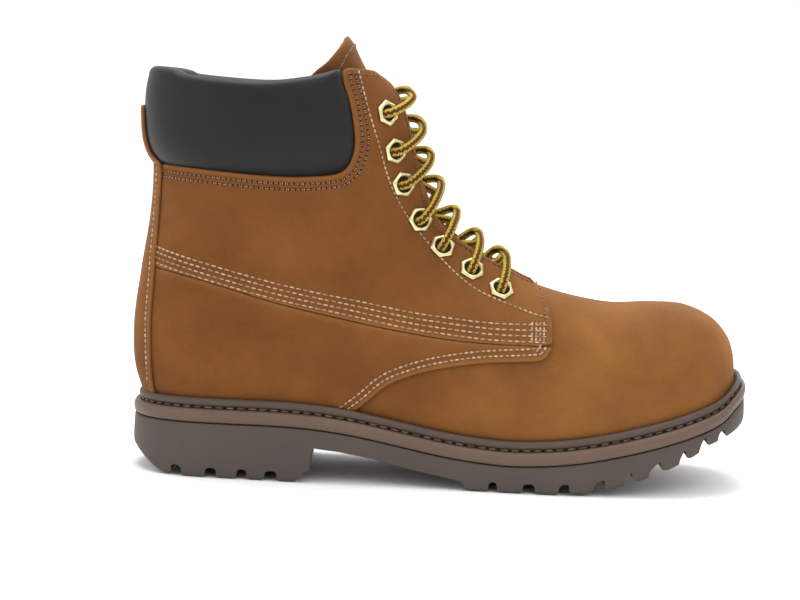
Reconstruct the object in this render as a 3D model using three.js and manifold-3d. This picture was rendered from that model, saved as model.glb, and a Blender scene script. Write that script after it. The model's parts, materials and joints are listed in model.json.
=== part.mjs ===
// Steel toe work boot for a right foot: a six-inch lace-up boot with a padded collar and a lugged sole.
// Millimetres, +X to the toe, +Y to the inner (medial) side, +Z up, with the treads standing on z = 0.
// The upper is made of layers that lie over one foot form. The form is a row of closed loops between a
// front rail and a back rail. Every layer is the form grown to one distance less the form grown to a
// smaller one, cut to the outline of its panel in the side view.
import * as THREE from "three";
import { mergeVertices } from "three/addons/utils/BufferGeometryUtils.js";
import Module from "manifold-3d";

const wasm = await Module();
wasm.setup();

// ---- driving dimensions ----
const soleLength = 307; // outsole, heel to toe
const ballWidth = 100; // upper, across the ball of the foot
const shaftWidth = 84; // upper, across the collar
const lengthScale = soleLength / 307;
const forefootScale = ballWidth / 100;
const shaftScale = shaftWidth / 84;
const gap = 0.3; // between pieces that lie against each other

// ---- material thicknesses ----
const quarterLeather = 2.0;
const vampLeather = 1.8;
const backstayLeather = 1.7;
const collarLeather = 1.3;
const collarBulge = 5.0; // of the collar beyond the leather below it
const counterThickness = 1.8;
const steelThickness = 1.8; // toe cap
const foamThickness = 1.8;
const liningCloth = 1.3;
const tonguePad = 5.0;
const gussetLeather = 1.0;
const footbedThickness = 4.5;
const boardThickness = 2.0; // insole board
const fillerThickness = 1.7; // between the board and the midsole, round the shank
const weltReach = 3.6; // of the welt beyond the upper
const midsoleThickness = 6.6;
const lugDepth = 4.9;

// Distances from the form, outward positive: the form itself is the outer face of the vamp.
const vampInner = -vampLeather;
const quarterInner = gap;
const quarterOuter = quarterInner + quarterLeather;
const capOuter = vampInner - gap;
const capInner = capOuter - Math.max(steelThickness, foamThickness);
const liningOuter = capInner - gap;
const liningInner = liningOuter - liningCloth;

// Heights from the feather line, where the upper meets the top of the welt.
const fillerBase = -(fillerThickness + boardThickness + 2 * gap);
const upperBase = fillerBase;
const midsoleTop = fillerBase - gap;
const weltBase = midsoleTop + gap;
const midsoleBase = midsoleTop - midsoleThickness;
const outsoleTop = midsoleBase - gap;
const treadDrop = -11.5 - outsoleTop; // the tread lines below are drawn for an outsole 11.5 down

// ---- laces and eyelets ----
const laceRadius = 2.1;
const eyeletHole = 3.15;
const eyeletBarrel = 3.8;
const eyeletFlats = 11.4; // across the flats of the six-sided flange
const eyeletFlange = 1.0;
const eyeletWasher = 5.2;
const laceSag = 1.2 * Math.max(lengthScale, shaftScale) ** 2; // of a straight run over the curved upper
const flangeBase = quarterOuter + gap;
const washerTop = vampInner - gap - laceSag;
const washerBase = washerTop - 0.5;
const overRun = flangeBase + eyeletFlange + laceRadius + gap;
const underRun = washerBase - laceRadius - 2 * gap;
const tongueOuter = underRun - laceRadius - laceSag;
const tongueInner = tongueOuter - tonguePad;
const gussetOuter = liningInner - gap;

// ---- foot form: one row per loop, from the toe to above the collar ----
// front rail x, z; back rail x, z; lateral and medial reach; ridge y; widest place; fullness front, back
const loops = [
  [148.6, 59, 148.7, 56, -5, 7, 6, 0.5, 2, 2],
  [147.4, 67.5, 147.8, 46, 8, 19, 6, 0.5, 2.1, 2.3],
  [143.9, 75.5, 145.4, 38, 19.5, 28.5, 6, 0.58, 2.2, 2.6],
  [136, 83.3, 139, 32.5, 30.5, 36.5, 6, 0.64, 2.3, 2.9],
  [122, 88.9, 126, 27, 40, 43, 5, 0.68, 2.35, 3.0],
  [104, 89.4, 107, 21.5, 46, 46.5, 4, 0.7, 2.35, 3.0],
  [86, 88.6, 87, 17.5, 49, 48.5, 3, 0.7, 2.3, 3.0],
  [68, 91.2, 68, 14.5, 50.5, 49.5, 2, 0.7, 2.2, 3.0],
  [53, 95, 48, 12.5, 50.5, 47.5, 1, 0.7, 2.1, 3.0],
  [41, 99.5, 24, 13, 49, 44, 0, 0.7, 2.0, 3.0],
  [31, 106, -8, 16, 46, 39.5, 0, 0.7, 2.0, 2.9],
  [20, 113.5, -48, 22, 41.5, 36, 0, 0.71, 2.0, 2.8],
  [11.5, 121.5, -96, 26, 37.5, 35, 0, 0.72, 2.0, 2.6],
  [4.5, 129.5, -135, 29, 35.5, 34.5, 0, 0.73, 2.0, 2.5],
  [-1.5, 138, -147.5, 46, 35, 35, 0, 0.73, 2.05, 2.4],
  [-6.5, 147, -150, 70, 35.5, 35.5, 0, 0.71, 2.1, 2.35],
  [-11, 156, -147, 98, 36.5, 36.5, 0, 0.67, 2.15, 2.3],
  [-15.5, 166, -143, 126, 38.5, 38.5, 0, 0.61, 2.2, 2.25],
  [-19.5, 177, -142, 150, 41, 41, 0, 0.57, 2.2, 2.2],
  [-24.5, 188, -144.5, 172, 42, 42, 0, 0.54, 2.2, 2.2],
  [-33, 198.5, -144, 190, 41, 41, 0, 0.52, 2.2, 2.2],
  [-43, 209, -139, 206, 39, 39, 0, 0.5, 2.2, 2.2],
  [-54, 222, -134, 222, 37, 37, 0, 0.5, 2.2, 2.2],
];
const lastLoop = loops.length - 1;
const ankleLoop = 11; // up to here the reach follows the forefoot
const shaftLoop = 17; // and from here the shaft
const loopPlaces = [0, 0.5, ...loops.keys().drop(1)];
const planSteps = 48; // corners of the sole's outline
const halfRing = [0.09, 0.18, 0.29, 0.42, 0.57, 0.73, 0.88];
const ringPlaces = [1, ...halfRing.slice().reverse(), 0, ...halfRing.map((around) => -around)];

// ---- lines in the side view, x and z ----
const featherLine = [
  [-175, 38],
  [-110, 38.2],
  [-70, 38],
  [-45, 35.8],
  [-20, 31.2],
  [5, 26.8],
  [30, 24.4],
  [50, 24.9],
  [70, 27.2],
  [95, 32.4],
  [120, 39.2],
  [138, 46],
  [148, 53.5],
  [175, 70],
];
const collarEdge = [
  [-53.4, 205],
  [-52.7, 194.8],
  [-49.6, 186.2],
  [-47.3, 176.6],
  [-46, 167],
  [-46.8, 159.6],
  [-50, 153.2],
  [-57.2, 150],
  [-81.5, 148.7],
  [-120.5, 150.8],
  [-175, 153],
];
const collarTop = [
  [-30, 206],
  [-53.7, 200.5],
  [-67.1, 197.2],
  [-92.1, 194.2],
  [-124.9, 195.8],
  [-136, 198.5],
  [-174, 201],
];
const facingTop = [
  [-75, 202.5],
  [-54, 201],
  [-38.7, 199.6],
  [-10, 196],
  [70, 188],
];
const seamLine = [
  [54, 69.9],
  [24.2, 70.6],
  [-1.8, 72.4],
  [-37.7, 77.6],
  [-77.6, 85.9],
  [-117.5, 97],
  [-175, 107.6],
];
const quarterFront = [
  [53.4, 70.5],
  [52.8, 82],
  [50.2, 90.2],
  [45.4, 99],
  [40.2, 106],
  [38, 112],
];
const quarterFoot = [
  [53.2, 69.6],
  [51.2, 66.4],
  [46.8, 63.7],
  [18.9, 61.6],
  [-2.3, 57.8],
  [-16.9, 53.2],
  [-26.7, 48.4],
  [-36.3, 40],
  [-45.3, 33.2],
  [-52, 22],
];
const vampBack = [
  [37, 115],
  [37, 97],
  [36.6, 86],
  [30, 77],
  [14, 73],
  [-8, 68],
  [-28, 60],
  [-44, 48],
  [-60, 36],
  [-68, 22],
];
const eyestayLine = [
  [-47.9, 203],
  [-40.6, 181.7],
  [-34.2, 162.7],
  [-30.4, 150.7],
  [-25.1, 138.7],
  [-17.4, 126.8],
  [-7.2, 115],
  [3.9, 103.7],
  [15.4, 95.2],
  [27.8, 89.8],
  [35.4, 87.6],
];
const liningFront = [
  [-62, 206],
  [-50, 183],
  [-43.5, 163],
  [-39, 149],
  [-31, 132],
  [-19, 119],
  [-6, 106],
  [8, 95],
  [19, 89],
  [21, 80],
  [20, 5],
];
const backstayEdge = [
  [-139, 20],
  [-142.7, 46.6],
  [-143.8, 72.1],
  [-142.6, 97],
  [-141.3, 123],
  [-140.2, 152],
];
const eyeletPlaces = [
  [28.5, 96.8],
  [14, 105.6],
  [-0.9, 115.9],
  [-12.3, 128.6],
  [-21.2, 145.8],
  [-25.6, 162.1],
  [-30, 180.5],
];
const tabTop = 180; // of the backstay's tab, up the back of the collar
const tabHalf = 11;
const throatHalf = 9; // half the opening between the facings at the throat
const openingHalf = 10.2 + laceRadius; // and higher up

// Tread blocks in the side view, from the heel: back x, front x, and the height of their underside.
const heelTreads = [
  [-136, -130.4, 0.8],
  [-126, -113.2, 0],
  [-108.4, -97.6, 0],
  [-93.4, -83.9, 0],
  [-78.6, -62, 0],
];
const soleTreads = [
  [13, 25, 0],
  [28.8, 41.4, 0],
  [47, 59, 0],
  [63.6, 75.4, 1],
  [80.6, 90.2, 4],
  [93.8, 102.4, 8],
  [107.6, 117.2, 13.4],
  [119.8, 127.2, 19.2],
  [130, 137, 25.2],
];
const archLine = [
  [-62, 17.6],
  [-48, 16],
  [-32, 13.4],
  [-14, 9.2],
];
const toeLine = [
  [139.6, 27.6],
  [150, 32],
  [175, 40],
]; // front tread block, round under the toe

// ---- small mathematics ----
const mix = (a, b, t) => a + (b - a) * t;
const clamp = (v, low, high) => Math.min(high, Math.max(low, v));
const axisX = new THREE.Vector3(1, 0, 0);
const axisY = new THREE.Vector3(0, 1, 0);
const axisZ = new THREE.Vector3(0, 0, 1);
const farOut = 150;

// Catmull-Rom through a list of numbers.
function through(values, at) {
  const i = clamp(Math.floor(at), 0, values.length - 2);
  const t = at - i;
  const p1 = values[i];
  const p2 = values[i + 1];
  const p0 = i > 0 ? values[i - 1] : 2 * p1 - p2;
  const p3 = i + 2 < values.length ? values[i + 2] : 2 * p2 - p1;
  const cubic = 3 * (p1 - p2) + p3 - p0;
  return 0.5 * (2 * p1 + (p2 - p0) * t + (2 * p0 - 5 * p1 + 4 * p2 - p3) * t * t + cubic * t ** 3);
}

// Runs a side-view line smoothly through its points, at the boot's own length.
function curve(points, steps) {
  const spline = new THREE.SplineCurve(points.map(([x, z]) => new THREE.Vector2(x * lengthScale, z)));
  return spline.getPoints(steps).map((p) => [p.x, p.y]);
}
const shift = (points, dx, dz) => points.map(([x, z]) => [x + dx, z + dz]);

const featherCurve = curve(featherLine, 14);
function featherZ(x) {
  const i = clamp(featherCurve.findIndex(([px]) => px > x) - 1, 0, featherCurve.length - 2);
  const [x0, z0] = featherCurve[i];
  const [x1, z1] = featherCurve[i + 1];
  return mix(z0, z1, (x - x0) / (x1 - x0));
}

// ---- the form ----
const columns = loops[0].map((_, c) =>
  loops.map((row, i) => {
    if (c === 0 || c === 2) return row[c] * lengthScale;
    if (c === 4 || c === 5) {
      const toShaft = clamp((i - ankleLoop) / (shaftLoop - ankleLoop), 0, 1);
      return row[c] * mix(forefootScale, shaftScale, toShaft);
    }
    return row[c];
  }),
);

// Around a loop, 0 is the front rail, 1 and -1 the back rail, and positive is the lateral side.
function formPoint(along, around) {
  const [fx, fz, bx, bz, lateral, medial, ridge, widest, front, back] = columns.map((c) => through(c, along));
  const turn = around > 1 ? around - 2 : around < -1 ? around + 2 : around;
  const angle = Math.abs(turn) * Math.PI;
  const cos = Math.cos(angle);
  const power = 2 / (cos >= 0 ? front : back);
  const reach = Math.abs(Math.sin(angle)) ** power;
  const t = cos >= 0 ? widest * (1 - cos ** power) : widest + (1 - widest) * (-cos) ** power;
  return new THREE.Vector3(mix(fx, bx, t), mix(ridge, turn >= 0 ? -lateral : medial, reach), mix(fz, bz, t));
}

function formNormal(along, around) {
  const step = 0.02;
  const at = clamp(along, 0.25, lastLoop - step);
  const forward = formPoint(at + step, around).sub(formPoint(at - step, around));
  const side = formPoint(at, around + step).sub(formPoint(at, around - step));
  const normal = forward.cross(side).normalize();
  return along < 0.25 ? normal.lerp(axisX, 1 - along / 0.25).normalize() : normal;
}

const skin = (along, around, distance) =>
  formPoint(along, around).addScaledVector(formNormal(along, around), distance);

// The place on the lateral side of the form that lies at x, z in the side view.
function locate(x, z) {
  const past = (along) => {
    const [fx, fz, bx, bz] = columns.slice(0, 4).map((c) => through(c, along));
    return (bx - fx) * (z - fz) - (bz - fz) * (x - fx) > 0;
  };
  let low = 1;
  let high = lastLoop;
  for (let i = 0; i < 40; i += 1) {
    const middle = (low + high) / 2;
    if (past(middle)) high = middle;
    else low = middle;
  }
  const [fx, fz, bx, bz, , , , widest, front, back] = columns.map((c) => through(c, low));
  const t = ((x - fx) * (bx - fx) + (z - fz) * (bz - fz)) / ((bx - fx) ** 2 + (bz - fz) ** 2);
  const cos =
    t < widest ? (1 - t / widest) ** (front / 2) : -(((t - widest) / (1 - widest)) ** (back / 2));
  return [low, Math.acos(clamp(cos, -1, 1)) / Math.PI];
}

// ---- solids ----
function solidOf(geometry) {
  const bare = new THREE.BufferGeometry().setAttribute("position", geometry.getAttribute("position"));
  if (geometry.index) bare.setIndex(geometry.index);
  const merged = mergeVertices(bare, 1e-3);
  return new wasm.Manifold(
    new wasm.Mesh({
      numProp: 3,
      vertProperties: new Float32Array(merged.attributes.position.array),
      triVerts: new Uint32Array(merged.index.array),
    }),
  );
}

function geometryOf(solid) {
  const mesh = solid.getMesh();
  const positions = new Float32Array(mesh.numVert * 3);
  for (let i = 0; i < mesh.numVert; i += 1)
    positions.set(mesh.vertProperties.subarray(i * mesh.numProp, i * mesh.numProp + 3), i * 3);
  return new THREE.BufferGeometry()
    .setAttribute("position", new THREE.BufferAttribute(positions, 3))
    .setIndex(new THREE.BufferAttribute(new Uint32Array(mesh.triVerts), 1));
}

// Joins each ring of points to the next and closes both ends, leaving out faces that have no area.
function loft(rings) {
  const points = [];
  const face = (a, b, c) => {
    const area = b.clone().sub(a).cross(c.clone().sub(a)).length();
    if (area > 1e-4) points.push(a, b, c);
  };
  for (let i = 0; i + 1 < rings.length; i += 1) {
    for (let j = 0; j < rings[i].length; j += 1) {
      const k = (j + 1) % rings[i].length;
      face(rings[i][j], rings[i][k], rings[i + 1][k]);
      face(rings[i][j], rings[i + 1][k], rings[i + 1][j]);
    }
  }
  for (let j = 1; j + 1 < rings[0].length; j += 1) {
    face(rings[0][0], rings[0][j + 1], rings[0][j]);
    face(rings.at(-1)[0], rings.at(-1)[j], rings.at(-1)[j + 1]);
  }
  return solidOf(new THREE.BufferGeometry().setFromPoints(points));
}

// The form grown by a distance, which may vary: distance(point on the form).
function grown(distance) {
  const far = typeof distance === "function" ? distance : () => distance;
  const ring = (along) =>
    ringPlaces.map((around) => skin(along, around, far(formPoint(along, around))));
  return loft(loopPlaces.map(ring));
}
const grownSolids = new Map();
function form(distance) {
  if (!grownSolids.has(distance)) grownSolids.set(distance, grown(distance));
  return grownSolids.get(distance);
}
const layer = (inner, outer) => form(outer).subtract(form(inner));

// A straight prism over an outline drawn on two axes, from one distance to another along the third.
function prism(outline, xAxis, yAxis, from, to, origin = new THREE.Vector3()) {
  const zAxis = xAxis.clone().cross(yAxis);
  const drawn = outline instanceof THREE.Shape;
  const shape = drawn ? outline : new THREE.Shape(outline.map((p) => new THREE.Vector2(...p)));
  const geometry = new THREE.ExtrudeGeometry(shape, { depth: to - from, bevelEnabled: false });
  const place = new THREE.Matrix4().makeBasis(xAxis, yAxis, zAxis);
  place.setPosition(origin.clone().addScaledVector(zAxis, from));
  return solidOf(geometry.applyMatrix4(place));
}

// A cutter with a panel's outline in the side view. The lateral side is -Y.
function panel(outline, side = "both") {
  const near = side === "lateral" ? gap / 2 : -farOut;
  const far = side === "medial" ? -gap / 2 : farOut;
  return prism(outline, axisX, axisZ, near, far);
}

// What lies between two heights from the feather line, all along the boot.
function band(low, high) {
  const under = featherCurve.map(([x, z]) => [x, z + low]);
  const over = featherCurve.map(([x, z]) => [x, z + high]);
  return panel([...under, ...over.reverse()]);
}
const aboveWelt = band(upperBase, 250);

// ---- outlines in plan, taken round the form at the feather line ----
function formOutline() {
  const backFrom = (low, high) => {
    let [a, b] = [low, high];
    const under = (along) => {
      const p = formPoint(along, 1);
      return p.z < featherZ(p.x);
    };
    for (let i = 0; i < 40; i += 1) {
      const middle = (a + b) / 2;
      if (under(middle)) a = middle;
      else b = middle;
    }
    return a;
  };
  const toe = backFrom(5, 0);
  const heel = backFrom(12, 16);
  const crossing = (along, side) => {
    let [high, low] = [0, 1];
    for (let i = 0; i < 40; i += 1) {
      const middle = (high + low) / 2;
      const p = formPoint(along, side * middle);
      if (p.z > featherZ(p.x)) high = middle;
      else low = middle;
    }
    return formPoint(along, side * low);
  };
  const stations = 120;
  const places = Array.from({ length: stations + 1 }, (_, k) =>
    mix(toe, heel, (1 - Math.cos((Math.PI * k) / stations)) / 2),
  );
  const lateral = places.map((along) => crossing(along, 1));
  const medial = places.map((along) => crossing(along, -1)).slice(1, -1);
  const around = [...lateral, ...medial.reverse()].map((p) => new THREE.Vector3(p.x, p.y, 0));
  return new THREE.CatmullRomCurve3(around, true).getSpacedPoints(planSteps).slice(0, -1);
}
const plan = formOutline();

// The plan outline moved out by a margin, as [x, y] pairs.
function planOutline(margin) {
  return plan.map((p, i) => {
    const out = typeof margin === "function" ? margin(p.x) : margin;
    const before = plan.at(i - 1);
    const after = plan[(i + 1) % plan.length];
    const direction = after.clone().sub(before).normalize();
    return new THREE.Vector3(p.x - direction.y * out, p.y + direction.x * out, 0);
  });
}

// A block with the sole's outline: each level is a margin beyond the upper and a height z(x). It runs on
// below the first level and above the last, so a band cuts it to length.
function soleBlock(levels) {
  const tall = [[levels[0][0], -40], ...levels, [levels.at(-1)[0], farOut]];
  const level = ([margin, height]) => {
    const at = typeof height === "function" ? height : () => height;
    return planOutline(margin).map((p) => p.setZ(at(p.x))).reverse();
  };
  return loft(tall.map(level));
}

// ---- materials ----
const nubuck = [0x9a6330, 0.9, 0];
const collarBlack = [0x2c2d2e, 0.45, 0];
const liningTan = [0xa98558, 0.95, 0];
const foamGrey = [0xc9c4b6, 1, 0];
const boardGrey = [0x8d8272, 0.95, 0];
const soleBrown = [0x5b5049, 0.75, 0];
const midsoleTaupe = [0x7a6659, 0.7, 0];
const weltBrown = [0x604e44, 0.65, 0];
const steel = [0x9da1a5, 0.35, 1];
const brass = [0xcfc58a, 0.3, 1];
const laceYellow = [0xb59a3a, 0.85, 0];
const threadTan = [0xb89a7a, 0.8, 0];

const group = new THREE.Group();
function add(name, geometry, [color, roughness, metalness]) {
  const material = new THREE.MeshStandardMaterial({ color, roughness, metalness });
  const mesh = new THREE.Mesh(geometry, material);
  mesh.name = name;
  group.add(mesh);
  return mesh;
}
const addSolid = (name, solid, material) => add(name, geometryOf(solid), material);
const sides = [
  ["lateral", 1],
  ["medial", -1],
];

// ---- the opening between the facings, looking along the boot ----
function facingOpening() {
  const half = [
    [0, 97.6],
    [throatHalf * 0.7, 97.9],
    [throatHalf, 100.5],
    [openingHalf, 112],
    [openingHalf, 230],
  ];
  const outline = [...half, ...half.slice(1).reverse().map(([y, z]) => [-y, z])];
  return prism(outline, axisY, axisZ, -75 * lengthScale, farOut);
}

// ---- the upper, from the outside in ----
const seam = curve(seamLine, 6);
const quarterFootCurve = curve(quarterFoot, 10);
const collarFront = curve(collarEdge, 12);
const eyestay = curve(eyestayLine, 8);
const opening = facingOpening();
const farBack = -175 * lengthScale;
const farToe = 175 * lengthScale;
const below = (line) => {
  const ends = [[farToe, line.at(-1)[1]], [farToe, -50], [farBack, -50], [farBack, line[0][1]]];
  return panel([...line, ...ends]);
};
const underRim = below(curve(facingTop, 4));
const underCollarTop = below(curve(collarTop, 7).reverse());

const quarterUpperOutline = [
  ...collarFront.slice().reverse(),
  [20 * lengthScale, 205],
  [60 * lengthScale, 140],
  ...curve(quarterFront, 4).reverse(),
  ...seam,
];
const quarterLowerOutline = [
  ...shift(seam.slice().reverse(), 0, -gap),
  ...quarterFootCurve.slice(1),
  [-52 * lengthScale, 5],
  [-175 * lengthScale, 5],
];
const facingOutline = [
  ...eyestay,
  [35.4 * lengthScale, 112],
  [20 * lengthScale, 205],
];
const backstayOutline = (grow) => [
  ...shift(curve(backstayEdge, 5), grow, 0),
  [-120 * lengthScale, 153],
  [-120 * lengthScale, tabTop],
  [farBack, tabTop],
  [farBack, 5],
];
// The backstay narrows above the collar's lower edge to a tab.
function backstayTaper() {
  const half = [
    [80, 0],
    [80, 149],
    [tabHalf + 6, 153],
    [tabHalf, 160],
    [tabHalf - 2, tabTop + 1],
  ];
  const outline = [...half, ...half.map(([y, z]) => [-y, z]).reverse()];
  return prism(outline, axisY, axisZ, -farOut * 2, 0);
}

// How far the collar swells at a point of the form: rounded off towards its bottom, front and top edges.
function collarSwell(point) {
  const fromBottom = point.z - 150.5;
  const fromFront = -50 * lengthScale - point.x;
  const fromTop = 201 - point.z;
  const inside = clamp(Math.min(fromBottom, fromFront, fromTop) / 14, 0, 1);
  return collarBulge * Math.sqrt(1 - (1 - inside) ** 2);
}
const collarOuter = (point) => quarterInner + collarLeather + collarSwell(point);
const collarPad = (point) => quarterInner + collarSwell(point) - gap;
const collarBack = (point) => quarterInner + collarSwell(point);
const backstayInner = (point) => Math.max(quarterOuter, collarOuter(point)) + gap;
const backstayOuter = (point) => backstayInner(point) + backstayLeather;

// The eyelets' places are those of their flanges, which stand out from the form.
function eyeletFrame([x, z], side) {
  const out = formNormal(...locate(x * lengthScale, z)).multiplyScalar(flangeBase);
  const [along, around] = locate(x * lengthScale - out.x, z - out.z);
  const normal = formNormal(along, side * around);
  const centre = formPoint(along, side * around);
  const toEdge = formPoint(along, side * (around - 0.02)).sub(centre);
  const u = toEdge.addScaledVector(normal, -toEdge.dot(normal)).normalize();
  return { along, around, centre, normal, u, v: normal.clone().cross(u) };
}
const eyeletFrames = sides.map(([, side]) => eyeletPlaces.map((place) => eyeletFrame(place, side)));

function disc(radius, corners) {
  const corner = (_, i) => {
    const angle = (2 * Math.PI * (i + 0.5)) / corners;
    return new THREE.Vector2(radius * Math.cos(angle), radius * Math.sin(angle));
  };
  return new THREE.Shape(Array.from({ length: corners }, corner));
}
const atEyelet = (frame, shape, from, to) => prism(shape, frame.u, frame.v, from, to, frame.centre);

function eyelet(frame) {
  const flange = disc(eyeletFlats / 2 / Math.cos(Math.PI / 6), 6);
  const barrel = disc(eyeletBarrel, 8);
  const washer = disc(eyeletWasher, 8);
  return atEyelet(frame, flange, flangeBase, flangeBase + eyeletFlange)
    .add(atEyelet(frame, barrel, washerBase + 0.2, flangeBase + 0.2))
    .add(atEyelet(frame, washer, washerBase, washerTop))
    .subtract(atEyelet(frame, disc(eyeletHole, 8), washerBase - 1, flangeBase + 3));
}
const eyeletRoom = (frame) => atEyelet(frame, disc(eyeletBarrel + 2 * gap, 8), washerBase - 2, flangeBase + 1);
const joinAll = (solids) => solids.reduce((all, one) => all.add(one));
const eyeletRooms = eyeletFrames.map((frames) => joinAll(frames.map(eyeletRoom)));

function upper() {
  const quarter = layer(quarterInner, quarterOuter);
  sides.forEach(([name], i) => {
    const top = quarter.intersect(panel(quarterUpperOutline, name)).intersect(underRim).subtract(opening);
    addSolid(`quarter_upper_${name}`, top.subtract(eyeletRooms[i]), nubuck);
    const low = quarter.intersect(panel(quarterLowerOutline, name)).intersect(aboveWelt);
    addSolid(`quarter_lower_${name}`, low, nubuck);
    const facing = layer(vampInner, 0).intersect(panel(facingOutline, name)).intersect(underRim);
    addSolid(`facing_${name}`, facing.subtract(opening).subtract(eyeletRooms[i]), nubuck);
  });
  const vampOutline = [[farToe, 5], [farToe, 120], ...curve(vampBack, 8)];
  addSolid("vamp", layer(vampInner, 0).intersect(panel(vampOutline)).intersect(aboveWelt), nubuck);
  const strip = layer(backstayInner, backstayOuter).intersect(panel(backstayOutline(0)));
  addSolid("backstay", strip.intersect(aboveWelt).intersect(backstayTaper()), nubuck);
}

function collar() {
  const outline = [...shift(collarFront, -gap, gap), [farBack, 205]];
  const room = panel(outline).intersect(underCollarTop);
  addSolid("collar_cover", layer(collarBack, collarOuter).intersect(room), collarBlack);
  addSolid("collar_foam", layer(vampInner, collarPad).intersect(room), foamGrey);
}

function stiffeners() {
  const counterOutline = [
    ...curve([[-72, 12], [-84, 46], [-104, 72], [-128, 84], [-175, 90]], 5),
    [-175 * lengthScale, 12],
  ];
  const counter = layer(-counterThickness, 0).intersect(panel(counterOutline)).intersect(aboveWelt);
  addSolid("heel_counter", counter, boardGrey);
  const capBack = 92 * lengthScale;
  const capOutline = [[capBack, 5], [farToe, 5], [farToe, 110], [capBack, 110]];
  const cap = layer(capOuter - steelThickness, capOuter).intersect(panel(capOutline)).intersect(aboveWelt);
  addSolid("steel_toe_cap", cap, steel);
  const edgeOutline = [[capBack - 9, 5], [capBack - gap, 5], [capBack - gap, 110], [capBack - 9, 110]];
  const edge = layer(capInner, capOuter).intersect(panel(edgeOutline)).intersect(band(upperBase + 10, 250));
  addSolid("toe_cap_edge_strip", edge, soleBrown);
}

const liningEdge = curve(liningFront, 12);
function linings() {
  const front = liningEdge;
  const shaftOutline = [...front, [farBack, 5], [farBack, 206]];
  const shaftRoom = panel(shaftOutline).intersect(underCollarTop).intersect(aboveWelt);
  addSolid("shaft_lining", layer(liningInner, liningOuter).intersect(shaftRoom), liningTan);
  addSolid("shaft_foam", layer(capInner, capInner + foamThickness).intersect(shaftRoom), foamGrey);
  const vampRoom = panel([
    [front.at(-1)[0] + gap, 5],
    [farToe, 5],
    [farToe, 120],
    [40 * lengthScale, 120],
    [40 * lengthScale, 88],
    [front.at(-1)[0] + 2, 80],
  ]);
  const vampLining = layer(liningInner, liningOuter).intersect(vampRoom).intersect(aboveWelt);
  addSolid("vamp_lining", vampLining, liningTan);
  const gussetOutline = [...front.slice(1, 9), ...shift(front.slice(1, 9).reverse(), -14, -6)];
  const gusset = layer(gussetOuter - gussetLeather, gussetOuter);
  for (const [name] of sides)
    addSolid(`gusset_${name}`, gusset.intersect(panel(gussetOutline, name)), nubuck);
}

// ---- the tongue: leather, foam and lining, standing a little further out above the facings ----
function tongue() {
  const lean = (depth) => (point) => tongueOuter + depth + 9 * clamp((point.z - 190) / 24, 0, 1);
  const half = [
    [31, 60],
    [33, 120],
    [34, 190],
    [31, 201],
    [23, 211],
    [12, 216.4],
  ];
  const rounded = curve([...half, [0, 217.6], ...half.map(([y, z]) => [-y, z]).reverse()], 14);
  const outline = [
    ...shift(liningEdge.slice(0, 10), -9, -4),
    [47 * lengthScale, 70],
    [47 * lengthScale, 112],
    [10 * lengthScale, 165],
    [-20 * lengthScale, 235],
    [-50 * lengthScale, 235],
    [-62 * lengthScale, 214],
  ];
  const room = panel(outline).intersect(prism(rounded, axisY, axisZ, -farOut, farOut));
  const between = (inner, outer) => layer(lean(inner), lean(outer)).intersect(room);
  const leather = 1.4;
  addSolid("tongue_leather", between(-leather, 0), nubuck);
  addSolid("tongue_padding", between(-tonguePad, -leather - gap), liningTan);
}

// ---- the bottom, from the footbed down ----
const inside = form(liningInner - gap);
function insoles() {
  const block = soleBlock([[3, 0]]).intersect(inside);
  addSolid("footbed", block.intersect(band(gap, footbedThickness)), collarBlack);
  addSolid("insole_board", block.intersect(band(-boardThickness, 0)), boardGrey);
  const shankHalf = 9;
  const slot = [[-96, 0], [-8, 0]].map(([x]) => x * lengthScale);
  const filler = band(fillerBase, fillerBase + fillerThickness);
  const strip = (grow) => {
    const corners = [
      [slot[0] - grow, -shankHalf - grow],
      [slot[1] + grow, -shankHalf - grow],
      [slot[1] + grow, shankHalf + grow],
      [slot[0] - grow, shankHalf + grow],
    ];
    return prism(corners, axisX, axisY, -20, 80);
  };
  addSolid("bottom_filler", block.intersect(filler).subtract(strip(gap)), boardGrey);
  addSolid("steel_shank", filler.intersect(strip(0)), steel);
}

// The outsole and midsole stand out further where the upper is thicker, behind the quarter's front edge.
const quarterStep = (x) => (quarterOuter + gap) * clamp((-16 * lengthScale - x) / 36, 0, 1);
const reachOut = (beyond) => (x) => beyond + quarterStep(x);

function treadCutter() {
  const underside = [];
  const block = ([back, front, z], valley) => {
    underside.push([back * lengthScale - 0.8, z + valley], [back * lengthScale, z], [front * lengthScale, z]);
    underside.push([front * lengthScale + 0.8, z + valley]);
  };
  underside.push([farBack, 12], [-149 * lengthScale, 10]);
  for (const tread of heelTreads) block(tread, lugDepth);
  underside.pop();
  underside.push(...archLine.map(([x, z]) => [x * lengthScale, z]));
  for (const tread of soleTreads) block(tread, lugDepth);
  underside.push(...toeLine.map(([x, z]) => [x * lengthScale, z]));
  return panel(shift([...underside, [farToe, 100], [farBack, 100]], 0, -treadDrop));
}

function treadChannels() {
  const channel = (y, slant) => {
    const [from, to] = [-140 * lengthScale, 132 * lengthScale];
    const corners = [
      [from, y - 1.6],
      [to, y - 1.6 + slant],
      [to, y + 1.6 + slant],
      [from, y + 1.6],
    ];
    return prism(corners, axisX, axisY, -farOut, farOut);
  };
  const low = [
    [farBack, -20],
    [farBack, lugDepth],
    [heelTreads[4][0] * lengthScale, lugDepth],
    [-70 * lengthScale, -1],
    [10 * lengthScale, -1],
    [soleTreads[0][0] * lengthScale, lugDepth],
    ...soleTreads.slice(3).map(([x, , z]) => [x * lengthScale, z + lugDepth]),
    [soleTreads.at(-1)[1] * lengthScale, soleTreads.at(-1)[2] + lugDepth + 4],
    [farToe, -20],
  ];
  return channel(-15, -1).add(channel(13, 3)).intersect(panel(shift(low, 0, -treadDrop)));
}

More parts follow.
